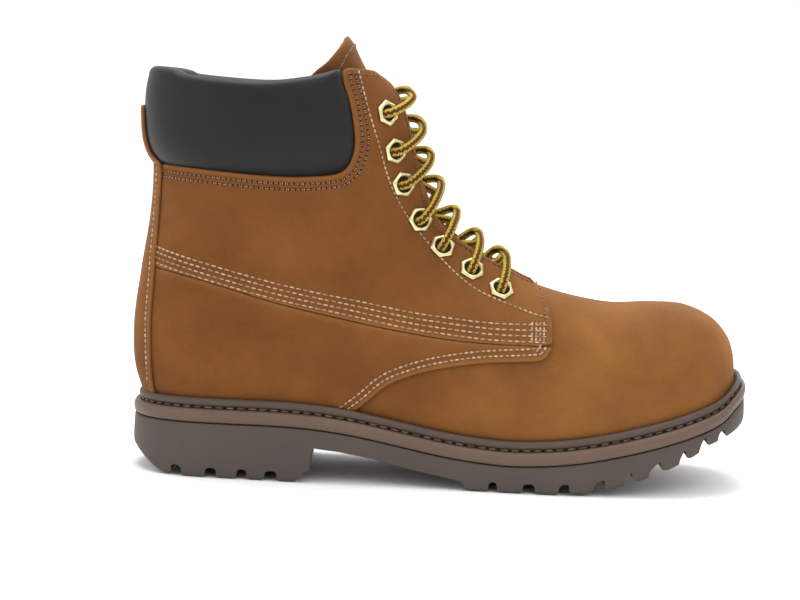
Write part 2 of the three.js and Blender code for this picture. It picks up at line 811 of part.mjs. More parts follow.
function sole() {
  const side = (margin, low, high) => [
    [margin[0], (x) => featherZ(x) + low - 1],
    [margin[1], (x) => featherZ(x) + mix(low, high, 0.3)],
    [margin[1], (x) => featherZ(x) + mix(low, high, 0.65)],
    [margin[0], (x) => featherZ(x) + high + 1],
  ];
  const midsoleSide = side([reachOut(4.4), reachOut(5.8)], midsoleBase, midsoleTop);
  addSolid("midsole", soleBlock(midsoleSide).intersect(band(midsoleBase, midsoleTop)), midsoleTaupe);

  const outsoleSide = [
    [reachOut(4.2), -1 - treadDrop],
    [reachOut(6.2), (x) => featherZ(x) + outsoleTop - 2],
    [reachOut(5.2), (x) => featherZ(x) + outsoleTop + 2],
  ];
  const treads = soleBlock(outsoleSide).intersect(band(-farOut, outsoleTop)).intersect(treadCutter());
  addSolid("outsole", treads.subtract(treadChannels()), soleBrown);

  const footRoom = panel([...shift(quarterFootCurve, 2 * gap, 0), [farBack, -20], [farBack, 90]]);
  const leatherRoom = form(gap)
    .add(form(quarterOuter + gap).intersect(footRoom))
    .add(grown((p) => backstayOuter(p) + gap).intersect(panel(backstayOutline(2 * gap))));
  const recess = weltReach - 1.7;
  const lip = weltBase + 1.4;
  const weltSide = [
    [recess, weltBase - 1],
    [recess, lip],
    [weltReach, lip + 0.2],
    [weltReach, -0.9],
    [weltReach - 1.1, 0.6],
  ].map(([beyond, height]) => [reachOut(beyond), (x) => featherZ(x) + height]);
  const welt = soleBlock(weltSide).intersect(band(weltBase, 0)).subtract(leatherRoom);
  addSolid("welt", welt, weltBrown);
  const ring = (beyond) => soleBlock([[reachOut(beyond), 0]]);
  const thread = ring(weltReach - 0.5).subtract(ring(recess + gap)).intersect(band(weltBase, weltBase + 0.9));
  addSolid("welt_thread", thread, threadTan);
}

// ---- the lace: one length, from a tucked tail up and down the eyelets to the other tail ----
function aroundAt(along, y) {
  let [low, high] = [0, 0.5];
  for (let i = 0; i < 30; i += 1) {
    const middle = (low + high) / 2;
    if (Math.abs(formPoint(along, middle).y) < y) low = middle;
    else high = middle;
  }
  return low;
}

function laceRoute() {
  const places = eyeletFrames[0].map(({ along, around }) => [along, around]);
  const last = places.length - 1;
  const at = (along, y, side, distance) => skin(along, side * aroundAt(along, y), distance);
  const betweenEyelets = (k, t) =>
    k < last ? mix(places[k][0], places[k + 1][0], t) : mix(places[k][0], places[k][0] + 1.1, t);
  const crossing = (k, side, top) => {
    const [along, around] = places[k];
    return [
      skin(along, side * around, overRun + 1.6),
      at(betweenEyelets(k, 0.25), openingHalf, side, overRun + 2.2),
      at(betweenEyelets(k, top ? 0.66 : 0.36), top ? 5 : 5.5, top ? -side : side, top ? 3.6 : 0),
      at(betweenEyelets(k, 0.84), openingHalf - 1.6, -side, underRun),
    ];
  };
  const half = (first) => {
    const route = [];
    let side = first;
    for (let k = 0; k <= last; k += 1) {
      if (k > 0) route.push(skin(places[k][0], side * places[k][1], underRun));
      route.push(...crossing(k, side, side === 1));
      side = -side;
    }
    route.push(at(betweenEyelets(last, 0.75), 19, side, underRun));
    for (const [k, t] of [[last, 0.45], [last, 0], [last - 1, 0.4], [last - 1, -0.1]]) {
      const along = betweenEyelets(k, t);
      const around = mix(places[k][1], places[Math.min(k + 1, last)][1], clamp(t, 0, 1));
      const behind = skin(along, side * around, 0);
      const [alongBehind, aroundBehind] = locate(behind.x - 9, behind.z - 1);
      route.push(skin(alongBehind, side * aroundBehind, underRun));
    }
    return route;
  };
  const [along, around] = places[0];
  const start = [1, 0.5, 0, -0.5, -1].map((part) => skin(along, part * around, underRun));
  return [...half(1).reverse(), ...start, ...half(-1)];
}

class Through extends THREE.Curve {
  constructor(points) {
    super();
    this.spline = new THREE.CatmullRomCurve3(points, false, "centripetal");
  }

  getPoint(t, target) {
    return this.spline.getPoint(t, target);
  }

  getPointAt(t, target) {
    return this.spline.getPoint(t, target);
  }

  getTangentAt(t, target) {
    return this.spline.getTangent(t, target);
  }
}

function laces() {
  const route = laceRoute();
  const section = disc(laceRadius, 8);
  const along = { steps: route.length - 1, extrudePath: new Through(route) };
  addSolid("lace", solidOf(new THREE.ExtrudeGeometry(section, along)), laceYellow);
  const ends = [
    ["lateral", route[0], route[1]],
    ["medial", route.at(-1), route.at(-2)],
  ];
  const aglet = new THREE.CylinderGeometry(laceRadius - 0.3, laceRadius - 0.3, 12, 8);
  for (const [name, end, before] of ends) {
    const direction = end.clone().sub(before).normalize();
    const mesh = add(`aglet_${name}`, aglet, soleBrown);
    mesh.quaternion.setFromUnitVectors(axisY, direction);
    mesh.position.copy(end).addScaledVector(direction, 6 + gap);
  }
}

upper();
collar();
stiffeners();
linings();
tongue();
insoles();
sole();
laces();
for (const [i, [name]] of sides.entries())
  eyeletFrames[i].forEach((frame, k) => addSolid(`eyelet_${name}_${k + 1}`, eyelet(frame), brass));

// The boot stands on the middle of its footprint.
const bounds = new THREE.Box3().setFromObject(group);
const middle = bounds.getCenter(new THREE.Vector3());
group.position.set(-middle.x, -middle.y, -bounds.min.z);

export default group;
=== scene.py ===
"""Steel toe work boot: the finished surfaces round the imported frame, laid out as an add-on with one
operator for each group of pieces. Shapes are worked out in millimetres on the foot form that the frame was
built on, and placed in metres."""

import json
import math

import bmesh
import bpy
import numpy as np
from bpy.props import FloatProperty, FloatVectorProperty, IntProperty, PointerProperty
from mathutils import Matrix, Vector
from mathutils.geometry import delaunay_2d_cdt
from mathutils.kdtree import KDTree


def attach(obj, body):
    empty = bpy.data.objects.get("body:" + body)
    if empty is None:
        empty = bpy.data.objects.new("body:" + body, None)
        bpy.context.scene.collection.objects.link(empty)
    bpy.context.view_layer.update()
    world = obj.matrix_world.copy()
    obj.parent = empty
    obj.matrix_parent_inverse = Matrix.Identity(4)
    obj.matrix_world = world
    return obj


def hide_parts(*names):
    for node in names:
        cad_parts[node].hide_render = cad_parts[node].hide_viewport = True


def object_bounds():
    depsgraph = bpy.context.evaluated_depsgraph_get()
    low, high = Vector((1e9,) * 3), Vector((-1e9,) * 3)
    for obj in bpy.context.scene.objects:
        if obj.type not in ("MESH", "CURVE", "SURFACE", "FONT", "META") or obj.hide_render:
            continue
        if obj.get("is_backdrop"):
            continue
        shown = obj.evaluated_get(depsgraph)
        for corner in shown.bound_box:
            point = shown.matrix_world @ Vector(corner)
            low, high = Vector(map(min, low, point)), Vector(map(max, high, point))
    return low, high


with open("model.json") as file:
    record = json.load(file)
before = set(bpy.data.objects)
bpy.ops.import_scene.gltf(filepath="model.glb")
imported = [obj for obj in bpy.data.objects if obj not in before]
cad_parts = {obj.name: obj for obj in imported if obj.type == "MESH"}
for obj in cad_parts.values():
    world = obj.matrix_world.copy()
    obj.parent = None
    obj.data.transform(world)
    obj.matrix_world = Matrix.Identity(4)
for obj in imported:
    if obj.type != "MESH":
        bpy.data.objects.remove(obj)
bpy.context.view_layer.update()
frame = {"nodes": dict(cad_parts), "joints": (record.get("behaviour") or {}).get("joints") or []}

bl_info = {
    "name": "Steel toe work boot",
    "version": (1, 0, 0),
    "blender": (4, 5, 0),
    "location": "View3D > Sidebar > Work boot",
    "description": "Builds a padded-collar work boot round its packed frame",
    "category": "Add Mesh",
}

MM = 0.001
BODY, TONGUE = "boot", "tongue"
SIDES = (("lateral", 1), ("medial", -1))

# ---- the foot form, in millimetres: one loop a row, from the toe to above the collar ----
# front rail x, z; back rail x, z; lateral and medial reach; ridge y; widest place; fullness front, back
LOOPS = np.array([
    [148.6, 59, 148.7, 56, -5, 7, 6, 0.5, 2, 2],
    [147.4, 67.5, 147.8, 46, 8, 19, 6, 0.5, 2.1, 2.3],
    [143.9, 75.5, 145.4, 38, 19.5, 28.5, 6, 0.58, 2.2, 2.6],
    [136, 83.3, 139, 32.5, 30.5, 36.5, 6, 0.64, 2.3, 2.9],
    [122, 88.9, 126, 27, 40, 43, 5, 0.68, 2.35, 3.0],
    [104, 89.4, 107, 21.5, 46, 46.5, 4, 0.7, 2.35, 3.0],
    [86, 88.6, 87, 17.5, 49, 48.5, 3, 0.7, 2.3, 3.0],
    [68, 91.2, 68, 14.5, 50.5, 49.5, 2, 0.7, 2.2, 3.0],
    [53, 95, 48, 12.5, 50.5, 47.5, 1, 0.7, 2.1, 3.0],
    [41, 99.5, 24, 13, 49, 44, 0, 0.7, 2.0, 3.0],
    [31, 106, -8, 16, 46, 39.5, 0, 0.7, 2.0, 2.9],
    [20, 113.5, -48, 22, 41.5, 36, 0, 0.71, 2.0, 2.8],
    [11.5, 121.5, -96, 26, 37.5, 35, 0, 0.72, 2.0, 2.6],
    [4.5, 129.5, -135, 29, 35.5, 34.5, 0, 0.73, 2.0, 2.5],
    [-1.5, 138, -147.5, 46, 35, 35, 0, 0.73, 2.05, 2.4],
    [-6.5, 147, -150, 70, 35.5, 35.5, 0, 0.71, 2.1, 2.35],
    [-11, 156, -147, 98, 36.5, 36.5, 0, 0.67, 2.15, 2.3],
    [-15.5, 166, -143, 126, 38.5, 38.5, 0, 0.61, 2.2, 2.25],
    [-19.5, 177, -142, 150, 41, 41, 0, 0.57, 2.2, 2.2],
    [-24.5, 188, -144.5, 172, 42, 42, 0, 0.54, 2.2, 2.2],
    [-33, 198.5, -144, 190, 41, 41, 0, 0.52, 2.2, 2.2],
    [-43, 209, -139, 206, 39, 39, 0, 0.5, 2.2, 2.2],
    [-54, 222, -134, 222, 37, 37, 0, 0.5, 2.2, 2.2],
])
LAST = len(LOOPS) - 1
HINGE_ON_FORM = Vector((47, 0, 85))
OFFSET = np.array(Vector(frame["joints"][0]["pos_m"]) / MM - HINGE_ON_FORM)

# ---- distances from the form, outward positive, in millimetres ----
FACING = (-1.8, 0.0)
VAMP = (-1.8, 0.0)
QUARTER = (0.3, 2.3)
LINING = (-5.5, -4.2)
GUSSET = (-6.8, -5.8)
TONGUE_OUTER = -9.8
TONGUE_LEATHER = 1.4
TONGUE_PAD = 5.0
COLLAR_BULGE = 5.0
BACKSTAY = 1.7
MIDSOLE_TOP = -4.6
MIDSOLE_BASE = -11.2
OUTSOLE_TOP = -11.5
OPENING_HALF = 12.3
LACE_RADIUS = 2.1
OVER_RUN = 6.0
UNDER_RUN = -6.5

# ---- lines in the side view, x and z in millimetres ----
FEATHER = [(-175, 38), (-110, 38.2), (-70, 38), (-45, 35.8), (-20, 31.2), (5, 26.8), (30, 24.4), (50, 24.9),
           (70, 27.2), (95, 32.4), (120, 39.2), (138, 46), (148, 53.5), (175, 70)]
COLLAR_EDGE = [(-53.4, 204), (-52.7, 194.8), (-49.6, 186.2), (-47.3, 176.6), (-46, 167), (-46.8, 159.6),
               (-50, 153.2), (-57.2, 150), (-81.5, 148.7), (-120.5, 150.8), (-149, 152.2)]
COLLAR_TOP = [(-30, 206), (-53.7, 200.5), (-67.1, 197.2), (-92.1, 194.2), (-124.9, 195.8), (-136, 198.5),
              (-174, 201)]
SEAM = [(54, 69.9), (24.2, 70.6), (-1.8, 72.4), (-37.7, 77.6), (-77.6, 85.9), (-117.5, 97), (-148, 102.7)]
QUARTER_FRONT = [(53.4, 70.5), (52.8, 82), (50.2, 90.2), (45.4, 98)]
QUARTER_FOOT = [(53.2, 69.6), (51.2, 66.4), (46.8, 63.7), (18.9, 61.6), (-2.3, 57.8), (-16.9, 53.2),
                (-26.7, 48.4), (-36.3, 40), (-45.3, 33.2)]
EYESTAY = [(-46.7, 201), (-40.6, 181.7), (-34.2, 162.7), (-30.4, 150.7), (-25.1, 138.7), (-17.4, 126.8),
           (-7.2, 115), (3.9, 103.7), (15.4, 95.2), (27.8, 89.8), (42.7, 84.4), (50.6, 82.4)]
SEAM_ROW = [(49.5, 78.9), (24, 79.6), (-2.1, 82), (-18, 83.9), (-37.9, 87.4), (-57.9, 91.2), (-77.8, 95.4),
            (-93.8, 99.3), (-117.7, 105.5), (-138, 110.4), (-146, 112.2)]
LINING_FRONT = [(-62, 206), (-50, 183), (-43.5, 163), (-39, 149), (-31, 132), (-19, 119), (-6, 106), (8, 95),
                (19, 89), (21, 80), (20, 50), (20, 30)]
BACKSTAY_EDGE = [(-136.3, 33), (-140, 46.6), (-141.1, 72.1), (-139.9, 97), (-138.6, 123), (-137.5, 149)]
EYELETS = [(28.5, 96.8), (14, 105.6), (-0.9, 115.9), (-12.3, 128.6), (-21.2, 145.8), (-25.6, 162.1),
           (-30, 180.5)]
HEEL_TREADS = [(-136, -130.4, 0.8), (-126, -113.2, 0), (-108.4, -97.6, 0), (-93.4, -83.9, 0), (-78.6, -62, 0)]
SOLE_TREADS = [(13, 25, 0), (28.8, 41.4, 0), (47, 59, 0), (63.6, 75.4, 1), (80.6, 90.2, 4), (93.8, 102.4, 8),
               (107.6, 117.2, 13.4), (119.8, 127.2, 19.2), (130, 137, 25.2)]
ARCH = [(-62, 17.6), (-48, 16), (-32, 13.4), (-14, 9.2), (8, 5.2)]


# ---- small mathematics ----
def through(points, count):
    """A smooth line through the points, as count rows, evenly spaced by length."""
    points = np.asarray(points, float)
    at = np.linspace(0, len(points) - 1, 40 * len(points))
    return even(catmull(points, at), count)


def catmull(rows, at):
    """A Catmull-Rom spline through the rows, at places counted in rows."""
    at = np.asarray(at, float)
    i = np.clip(np.floor(at).astype(int), 0, len(rows) - 2)
    t = (at - i)[..., None]
    p1, p2 = rows[i], rows[i + 1]
    p0 = np.where((i > 0)[..., None], rows[i - 1], 2 * p1 - p2)
    p3 = np.where((i + 2 < len(rows))[..., None], rows[np.minimum(i + 2, len(rows) - 1)], 2 * p2 - p1)
    cubic = 3 * (p1 - p2) + p3 - p0
    return 0.5 * (2 * p1 + (p2 - p0) * t + (2 * p0 - 5 * p1 + 4 * p2 - p3) * t**2 + cubic * t**3)


def even(points, count, closed=False):
    """The line's points again, count of them, evenly spaced by length."""
    if closed:
        points = np.vstack([points, points[:1]])
    run = np.concatenate([[0], np.cumsum(np.linalg.norm(np.diff(points, axis=0), axis=1))])
    at = np.linspace(0, run[-1], count + 1)[:-1] if closed else np.linspace(0, run[-1], count)
    return np.stack([np.interp(at, run, points[:, k]) for k in range(points.shape[1])], 1)


def length_of(points):
    """The length of a line of points."""
    return float(np.linalg.norm(np.diff(points, axis=0), axis=1).sum())


def feather_z(x):
    """The feather line's height, where the upper meets the welt."""
    return np.interp(x, FEATHER_LINE[:, 0], FEATHER_LINE[:, 1])


FEATHER_LINE = catmull(np.array(FEATHER, float), np.linspace(0, len(FEATHER) - 1, 200))


# ---- the form ----
def form_point(along, around):
    """The form's surface: along counts loops from the toe, around runs from the ridge (0) to the back (1)."""
    along, around = np.broadcast_arrays(np.asarray(along, float), np.asarray(around, float))
    c = catmull(LOOPS, along)
    turn = np.where(around > 1, around - 2, np.where(around < -1, around + 2, around))
    angle = np.abs(turn) * np.pi
    cos = np.cos(angle)
    front = cos >= 0
    power = 2 / np.where(front, c[..., 8], c[..., 9])
    reach = np.abs(np.sin(angle)) ** power
    wide = c[..., 7]
    share = np.where(front, wide * (1 - np.abs(cos) ** power), wide + (1 - wide) * np.abs(cos) ** power)
    y = c[..., 6] + (np.where(turn >= 0, -c[..., 4], c[..., 5]) - c[..., 6]) * reach
    x = c[..., 0] + (c[..., 2] - c[..., 0]) * share
    z = c[..., 1] + (c[..., 3] - c[..., 1]) * share
    return np.stack([x, y, z], -1)


def unit(v):
    """Each vector at length 1."""
    return v / np.maximum(np.linalg.norm(v, axis=-1, keepdims=True), 1e-12)


def form_normal(along, around):
    """The form's outward direction at a place."""
    step = 0.02
    along = np.asarray(along, float)
    at = np.clip(along, 0.25, LAST - step)
    forward = form_point(at + step, around) - form_point(at - step, around)
    side = form_point(at, around + step) - form_point(at, around - step)
    normal = unit(np.cross(forward, side))
    share = np.clip(along / 0.25, 0, 1)[..., None]
    return unit(normal * share + np.array([1.0, 0, 0]) * (1 - share))


def skin(along, around, distance):
    """A point at a distance from the form."""
    along, around = np.broadcast_arrays(np.asarray(along, float), np.asarray(around, float))
    return form_point(along, around) + form_normal(along, around) * np.asarray(distance)[..., None]


def locate(points):
    """(along, around) on the lateral side of the form for side-view points x, z."""
    x, z = np.asarray(points, float).T
    low, high = np.full(x.shape, 1.0), np.full(x.shape, float(LAST))
    for _ in range(40):
        middle = (low + high) / 2
        c = catmull(LOOPS, middle)
        past = (c[:, 2] - c[:, 0]) * (z - c[:, 1]) - (c[:, 3] - c[:, 1]) * (x - c[:, 0]) > 0
        high, low = np.where(past, middle, high), np.where(past, low, middle)
    c = catmull(LOOPS, low)
    dx, dz = c[:, 2] - c[:, 0], c[:, 3] - c[:, 1]
    share = np.clip(((x - c[:, 0]) * dx + (z - c[:, 1]) * dz) / (dx**2 + dz**2), 0, 1)
    wide = c[:, 7]
    front = np.abs(1 - share / wide) ** (c[:, 8] / 2)
    back = -(np.abs((share - wide) / (1 - wide)) ** (c[:, 9] / 2))
    cos = np.where(share < wide, front, back)
    return np.stack([low, np.arccos(np.clip(cos, -1, 1)) / np.pi], 1)


def around_at(along, y):
    """How far round the loop the form is y millimetres from the middle, on the front half."""
    along = np.asarray(along, float)
    low, high = np.zeros(along.shape), np.full(along.shape, 0.5)
    for _ in range(30):
        middle = (low + high) / 2
        inside = np.abs(form_point(along, middle)[..., 1]) < y
        low, high = np.where(inside, middle, low), np.where(inside, high, middle)
    return low


def around_feather(along, side, lift=0.0):
    """Where a loop crosses the feather line, lifted, going down one side."""
    along = np.asarray(along, float)
    high, low = np.zeros(along.shape), np.ones(along.shape)
    for _ in range(40):
        middle = (low + high) / 2
        p = form_point(along, side * middle)
        above = p[..., 2] > feather_z(p[..., 0]) + lift
        high, low = np.where(above, middle, high), np.where(above, low, middle)
    return side * low


def along_feather(low, high, lift=0.0):
    """The loop whose back rail lies on the feather line, between two loops: below it at low."""
    for _ in range(40):
        middle = (low + high) / 2
        p = form_point(middle, 1.0)
        under = p[2] < feather_z(p[0]) + lift
        low, high = (middle, high) if under else (low, middle)
    return low


def along_height(around, z):
    """The loop of the shaft that has height z at this place round it."""
    around, z = np.broadcast_arrays(np.asarray(around, float), np.asarray(z, float))
    low, high = np.full(z.shape, 12.0), np.full(z.shape, float(LAST))
    for _ in range(36):
        middle = (low + high) / 2
        under = form_point(middle, around)[..., 2] < z
        low, high = np.where(under, middle, low), np.where(under, high, middle)
    return low


def feather_path(lift, toe=None, heel=None, side=1, count=160):
    """(along, around) down one side of the boot at a height from the feather line, from toe to heel."""
    toe = along_feather(5.0, 0.0, lift) if toe is None else toe
    heel = along_feather(12.0, 16.0, lift) if heel is None else heel
    along = toe + (heel - toe) * (1 - np.cos(np.linspace(0, np.pi, count))) / 2
    return np.stack([along, around_feather(along, side, lift)], 1)


# A flat chart of the form, with the toe tip in its middle, on which panels are filled with triangles.
def chart_radius():
    """How the chart's radius, as a logarithm, grows along the form so that it keeps angles."""
    along = np.linspace(0, LAST, 12 * LAST + 1)
    around = np.linspace(-1, 1, 65)
    grid = form_point(along[:, None], around[None, :])
    ring = np.linalg.norm(np.diff(grid, axis=1), axis=2).sum(1) / (2 * np.pi)
    step = np.linalg.norm(np.diff(grid, axis=0), axis=2).mean(1)
    growth = step / ((ring[1:] + ring[:-1]) / 2)
    return along, np.concatenate([[0], np.cumsum(growth)])


CHART_ALONG, CHART_LOG = chart_radius()
CORE = 0.5  # the form's blunt tip, drawn as a shrinking loop


def to_chart(places):
    """Places on the form as points of the chart."""
    along, around = places[:, 0], places[:, 1]
    radius = np.where(along < 0, 1 + along / CORE, np.exp(np.interp(along, CHART_ALONG, CHART_LOG)))
    return np.stack([radius * np.cos(np.pi * around), radius * np.sin(np.pi * around)], 1)


def from_chart(flat):
    """Points of the chart as places on the form."""
    radius = np.hypot(flat[:, 0], flat[:, 1])
    around = np.arctan2(flat[:, 1], flat[:, 0]) / np.pi
    out = np.interp(np.log(np.maximum(radius, 1)), CHART_LOG, CHART_ALONG)
    return np.stack([np.where(radius < 1, (radius - 1) * CORE, out), around], 1)


def on_form(places, distance):
    """Points at a distance from the form, with its blunt tip closed."""
    along, around = places[:, 0], places[:, 1]
    points = skin(np.maximum(along, 0), around, distance)
    core = along < 0
    if core.any():
        rim = form_point(0.0, np.linspace(-1, 1, 9)[:-1]).mean(0)
        out = distance if np.ndim(distance) == 0 else distance[core].mean()
        middle = rim + np.array([1.0, 0, 0]) * out
        share = (1 + along[core] / CORE)[:, None]
        points[core] = middle + (points[core] - middle) * share
    return points


# ---- meshes ----
def finish_mesh(name, verts, faces, material, smooth=True):
    """A mesh object from points in millimetres on the form, placed in metres."""
    mesh = bpy.data.meshes.new(name)
    places = (np.asarray(verts) + OFFSET) * MM
    mesh.from_pydata([tuple(p) for p in places], [], [tuple(map(int, f)) for f in faces])
    mesh.validate()
    mesh.polygons.foreach_set("use_smooth", [smooth] * len(mesh.polygons))
    mesh.materials.append(material)
    obj = bpy.data.objects.new(name, mesh)
    bpy.context.scene.collection.objects.link(obj)
    return obj


def outward(obj):
    """Turns a closed mesh's faces to point outwards."""
    work = bmesh.new()
    work.from_mesh(obj.data)
    bmesh.ops.recalc_face_normals(work, faces=work.faces)
    work.to_mesh(obj.data)
    work.free()
    return obj


def sharpen(obj, degrees=40):
    """Marks the edges between steep faces sharp."""
    work = bmesh.new()
    work.from_mesh(obj.data)
    for e in work.edges:
        e.smooth = not (len(e.link_faces) == 2 and e.calc_face_angle(0) > math.radians(degrees))
    work.to_mesh(obj.data)
    work.free()
    return obj


def add_attribute(obj, name, values):
    """A number on each point, for the materials."""
    attribute = obj.data.attributes.new(name, "FLOAT", "POINT")
    attribute.data.foreach_set("value", np.asarray(values, np.float32))


def own(obj, body, slot, *nodes):
    """Gives a piece its body and hides the frame nodes it stands for. The slot argument is not used."""
    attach(obj, body)
    if nodes:
        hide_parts(*nodes)
    return obj


def nearest(points, targets):
    """How far each point is from the nearest target."""
    tree = KDTree(len(targets))
    for i, p in enumerate(targets):
        tree.insert(p, i)
    tree.balance()
    return np.array([tree.find(p)[2] for p in points])


def fill(flat, edge_count):
    """Delaunay triangles inside the closed outline made by the first edge_count points, and where each
    point came from."""
    got = delaunay_2d_cdt([Vector(p) for p in flat], [], [list(range(edge_count))], 0, 1e-9, True)
    points, faces = np.array([tuple(v) for v in got[0]]), np.array(got[2])
    return points, faces[winding(flat[:edge_count], points[faces].mean(1))], got[3]


def rim_of(faces):
    """The directed edges that only one triangle has."""
    edges = np.vstack([faces[:, [0, 1]], faces[:, [1, 2]], faces[:, [2, 0]]])
    there = set(map(tuple, edges.tolist()))
    return [(a, b) for a, b in there if (b, a) not in there]


def shell(name, places, faces, outer, inner, material):
    """A closed shell: the triangles at the outer distance, again at the inner one, and a wall between."""
    top, under = on_form(places, outer), on_form(places, inner)
    n = len(places)
    lifted = on_form(places, outer + 1.0) - top
    cross = np.cross(top[faces[:, 1]] - top[faces[:, 0]], top[faces[:, 2]] - top[faces[:, 0]])
    if (cross * lifted[faces[:, 0]]).sum() < 0:
        faces = faces[:, ::-1]
    wall = [(b, a, a + n, b + n) for a, b in rim_of(faces)]
    every = [*faces.tolist(), *(faces[:, ::-1] + n).tolist(), *wall]
    return finish_mesh(name, np.vstack([top, under]), every, material), top


def panel(name, outline, layer, material, spacing=2.4, creases=(), crease_depth=0.3, rounding=0.8,
          outer_of=None, inner_of=None):
    """A leather panel: outline is a closed row of (along, around), layer its inner and outer distance.
    Its edge is rounded, and each crease, a row of points, is pressed in where a stitch line will lie."""
    inner, outer = layer
    outline = np.asarray(outline, float)
    flat = to_chart(outline)
    loop = from_chart(even(np.vstack([flat, flat[:1]]), 3000))
    edge = on_form(loop, 0.0 * loop[:, 0])
    count = int(length_of(edge) / (spacing * 0.55))
    run = np.concatenate([[0], np.cumsum(np.linalg.norm(np.diff(edge, axis=0), axis=1))])
    pick = np.interp(np.linspace(0, run[-1], count + 1)[:-1], run, np.arange(len(run)))
    chart_loop = to_chart(loop)
    ring = np.stack([np.interp(pick, np.arange(len(run)), chart_loop[:, k]) for k in range(2)], 1)
    for _ in range(2):
        ring = (np.roll(ring, 1, 0) + 2 * ring + np.roll(ring, -1, 0)) / 4
    dense = on_form(from_chart(even(ring, 6 * count, closed=True)), np.zeros(6 * count))

    inside = [ring]
    here = from_chart(ring)
    tangent = np.roll(ring, -1, 0) - np.roll(ring, 1, 0)
    turn = 1 if signed_area(ring) > 0 else -1
    inwards = unit(np.stack([-tangent[:, 1], tangent[:, 0]], 1)) * turn
    size = np.hypot(*ring.T)[:, None] * 0.002
    scale = np.linalg.norm(
        on_form(from_chart(ring + inwards * size), np.zeros(count)) - on_form(here, np.zeros(count)), axis=1
    )[:, None] / size
    for depth in (0.3, rounding, 1.7 * rounding + 0.4):
        inside.append(ring + inwards * depth / scale)
    for crease in creases:
        inside.append(to_chart(crease))
    candidates = []
    low, high = max(0.0, from_chart(ring)[:, 0].min()), from_chart(ring)[:, 0].max()
    if np.all(np.hypot(*ring.T) > 1) and winding(ring, np.zeros((1, 2)))[0]:
        low = -CORE
    at = low + 0.05
    row = 0
    while at < high:
        base = max(at, 0.0)
        loop_points = form_point(base, np.linspace(-1, 1, 41))
        girth = length_of(loop_points) * (1 + at / CORE if at < 0 else 1)
        n = max(3, int(girth / spacing))
        around = -1 + 2 * (np.arange(n) + 0.5 * (row % 2)) / n
        candidates.append(np.stack([np.full(n, at), around], 1))
        beyond = form_point(base + 0.1, np.linspace(-1, 1, 41))
        stride = np.linalg.norm(beyond - loop_points, axis=1).mean() * 10
        at += spacing * 0.87 / stride if at >= 0 else 0.12
        row += 1
    candidates = np.vstack(candidates)
    inside.append(to_chart(candidates))
    free = np.vstack(inside[1:])
    free = free[winding(ring, free)]
    space = on_form(from_chart(free), np.zeros(len(free)))
    gap = nearest(space, dense)
    free, space = free[gap > 0.27], space[gap > 0.27]
    keep = thin_out(space, 0.5)
    flat, faces, _ = fill(np.vstack([ring, free[keep]]), count)
    places = from_chart(flat)
    base = on_form(places, np.zeros(len(places)))
    gap = nearest(base, dense)
    drop = rounding * (1 - np.sqrt(1 - (1 - np.clip(gap / rounding, 0, 1)) ** 2))
    pressed = np.full(len(places), 9.0)
    if creases:
        pressed = nearest(base, np.vstack([on_form(even(c, 400), np.zeros(400)) for c in creases]))
    drop = drop + crease_depth * np.exp(-((pressed / 0.9) ** 2))
    top = (outer_of(places, base) if outer_of else outer) - drop
    under = (inner_of(places, base) if inner_of else np.full(len(places), inner))
    top = np.maximum(top, under + 0.15)
    obj, _ = shell(name, places, faces, top, under, material)
    rim = np.exp(-((gap / 1.6) ** 2))
    seam = np.exp(-((pressed / 1.4) ** 2))
    add_attribute(obj, "edge", np.concatenate([rim, np.ones(len(rim))]))
    add_attribute(obj, "seam", np.concatenate([seam, np.zeros(len(seam))]))
    return obj


def signed_area(ring):
    """Twice the ring's area, positive when it runs anticlockwise."""
    return np.sum(ring[:, 0] * np.roll(ring[:, 1], -1) - np.roll(ring[:, 0], -1) * ring[:, 1])


def winding(ring, points):
    """Which points lie inside a closed ring, in the chart."""
    inside = np.zeros(len(points), bool)
    x, y = points[:, 0], points[:, 1]
    for (x0, y0), (x1, y1) in zip(ring, np.roll(ring, -1, 0)):
        crosses = (y0 > y) != (y1 > y)
        if crosses.any():
            inside[crosses] ^= (x < (x1 - x0) * (y - y0) / (y1 - y0) + x0)[crosses]
    return inside


def thin_out(points, least):
    """Keeps each point that is no nearer than least to one kept before it."""
    cells, keep = {}, []
    around = [(i - 1, j - 1, k - 1) for i, j, k in np.ndindex(3, 3, 3)]
    for n, p in enumerate(points):
        a, b, c = np.floor(p / least).astype(int).tolist()
        near = [(a + i, b + j, c + k) for i, j, k in around]
        if any(np.sum((p - q) ** 2) < least**2 for cell in near for q in cells.get(cell, ())):
            continue
        cells.setdefault((a, b, c), []).append(p)
        keep.append(n)
    return np.array(keep)


def grid_shell(name, grid, material, closed_rows=False):
    """Quads over a grid of points, rows by columns, closed round the columns, with its ends capped."""
    rows, columns = grid.shape[:2]
    index = np.arange(rows * columns).reshape(rows, columns)
    faces = []
    across = np.roll(index, -1, 1)
    last = rows if closed_rows else rows - 1
    for r in range(last):
        s = (r + 1) % rows
        faces += zip(index[r], across[r], across[s], index[s])
    if not closed_rows:
        faces += [tuple(index[0][::-1]), tuple(index[-1])]
    return outward(finish_mesh(name, grid.reshape(-1, 3), faces, material))


def side_line(points, side=1, count=60):
    """A side-view line as (along, around) on one side of the boot."""
    places = locate(through(points, count))
    places[:, 1] *= side
    return places


def offset_line(points, distance, count=80):
    """A side-view line moved sideways, to the left of its direction."""
    line = through(points, count)
    tangent = unit(np.gradient(line, axis=0))
    return line + np.stack([-tangent[:, 1], tangent[:, 0]], 1) * distance


# ---- materials ----
NOISE, MIX, MATH, BUMP = "ShaderNodeTexNoise", "ShaderNodeMix", "ShaderNodeMath", "ShaderNodeBump"


def linear(code):
    """An sRGB hex colour as linear red, green, blue and alpha."""
    parts = [int(code[i : i + 2], 16) / 255 for i in (1, 3, 5)]
    return (*[c / 12.92 if c <= 0.04045 else ((c + 0.055) / 1.055) ** 2.4 for c in parts], 1.0)


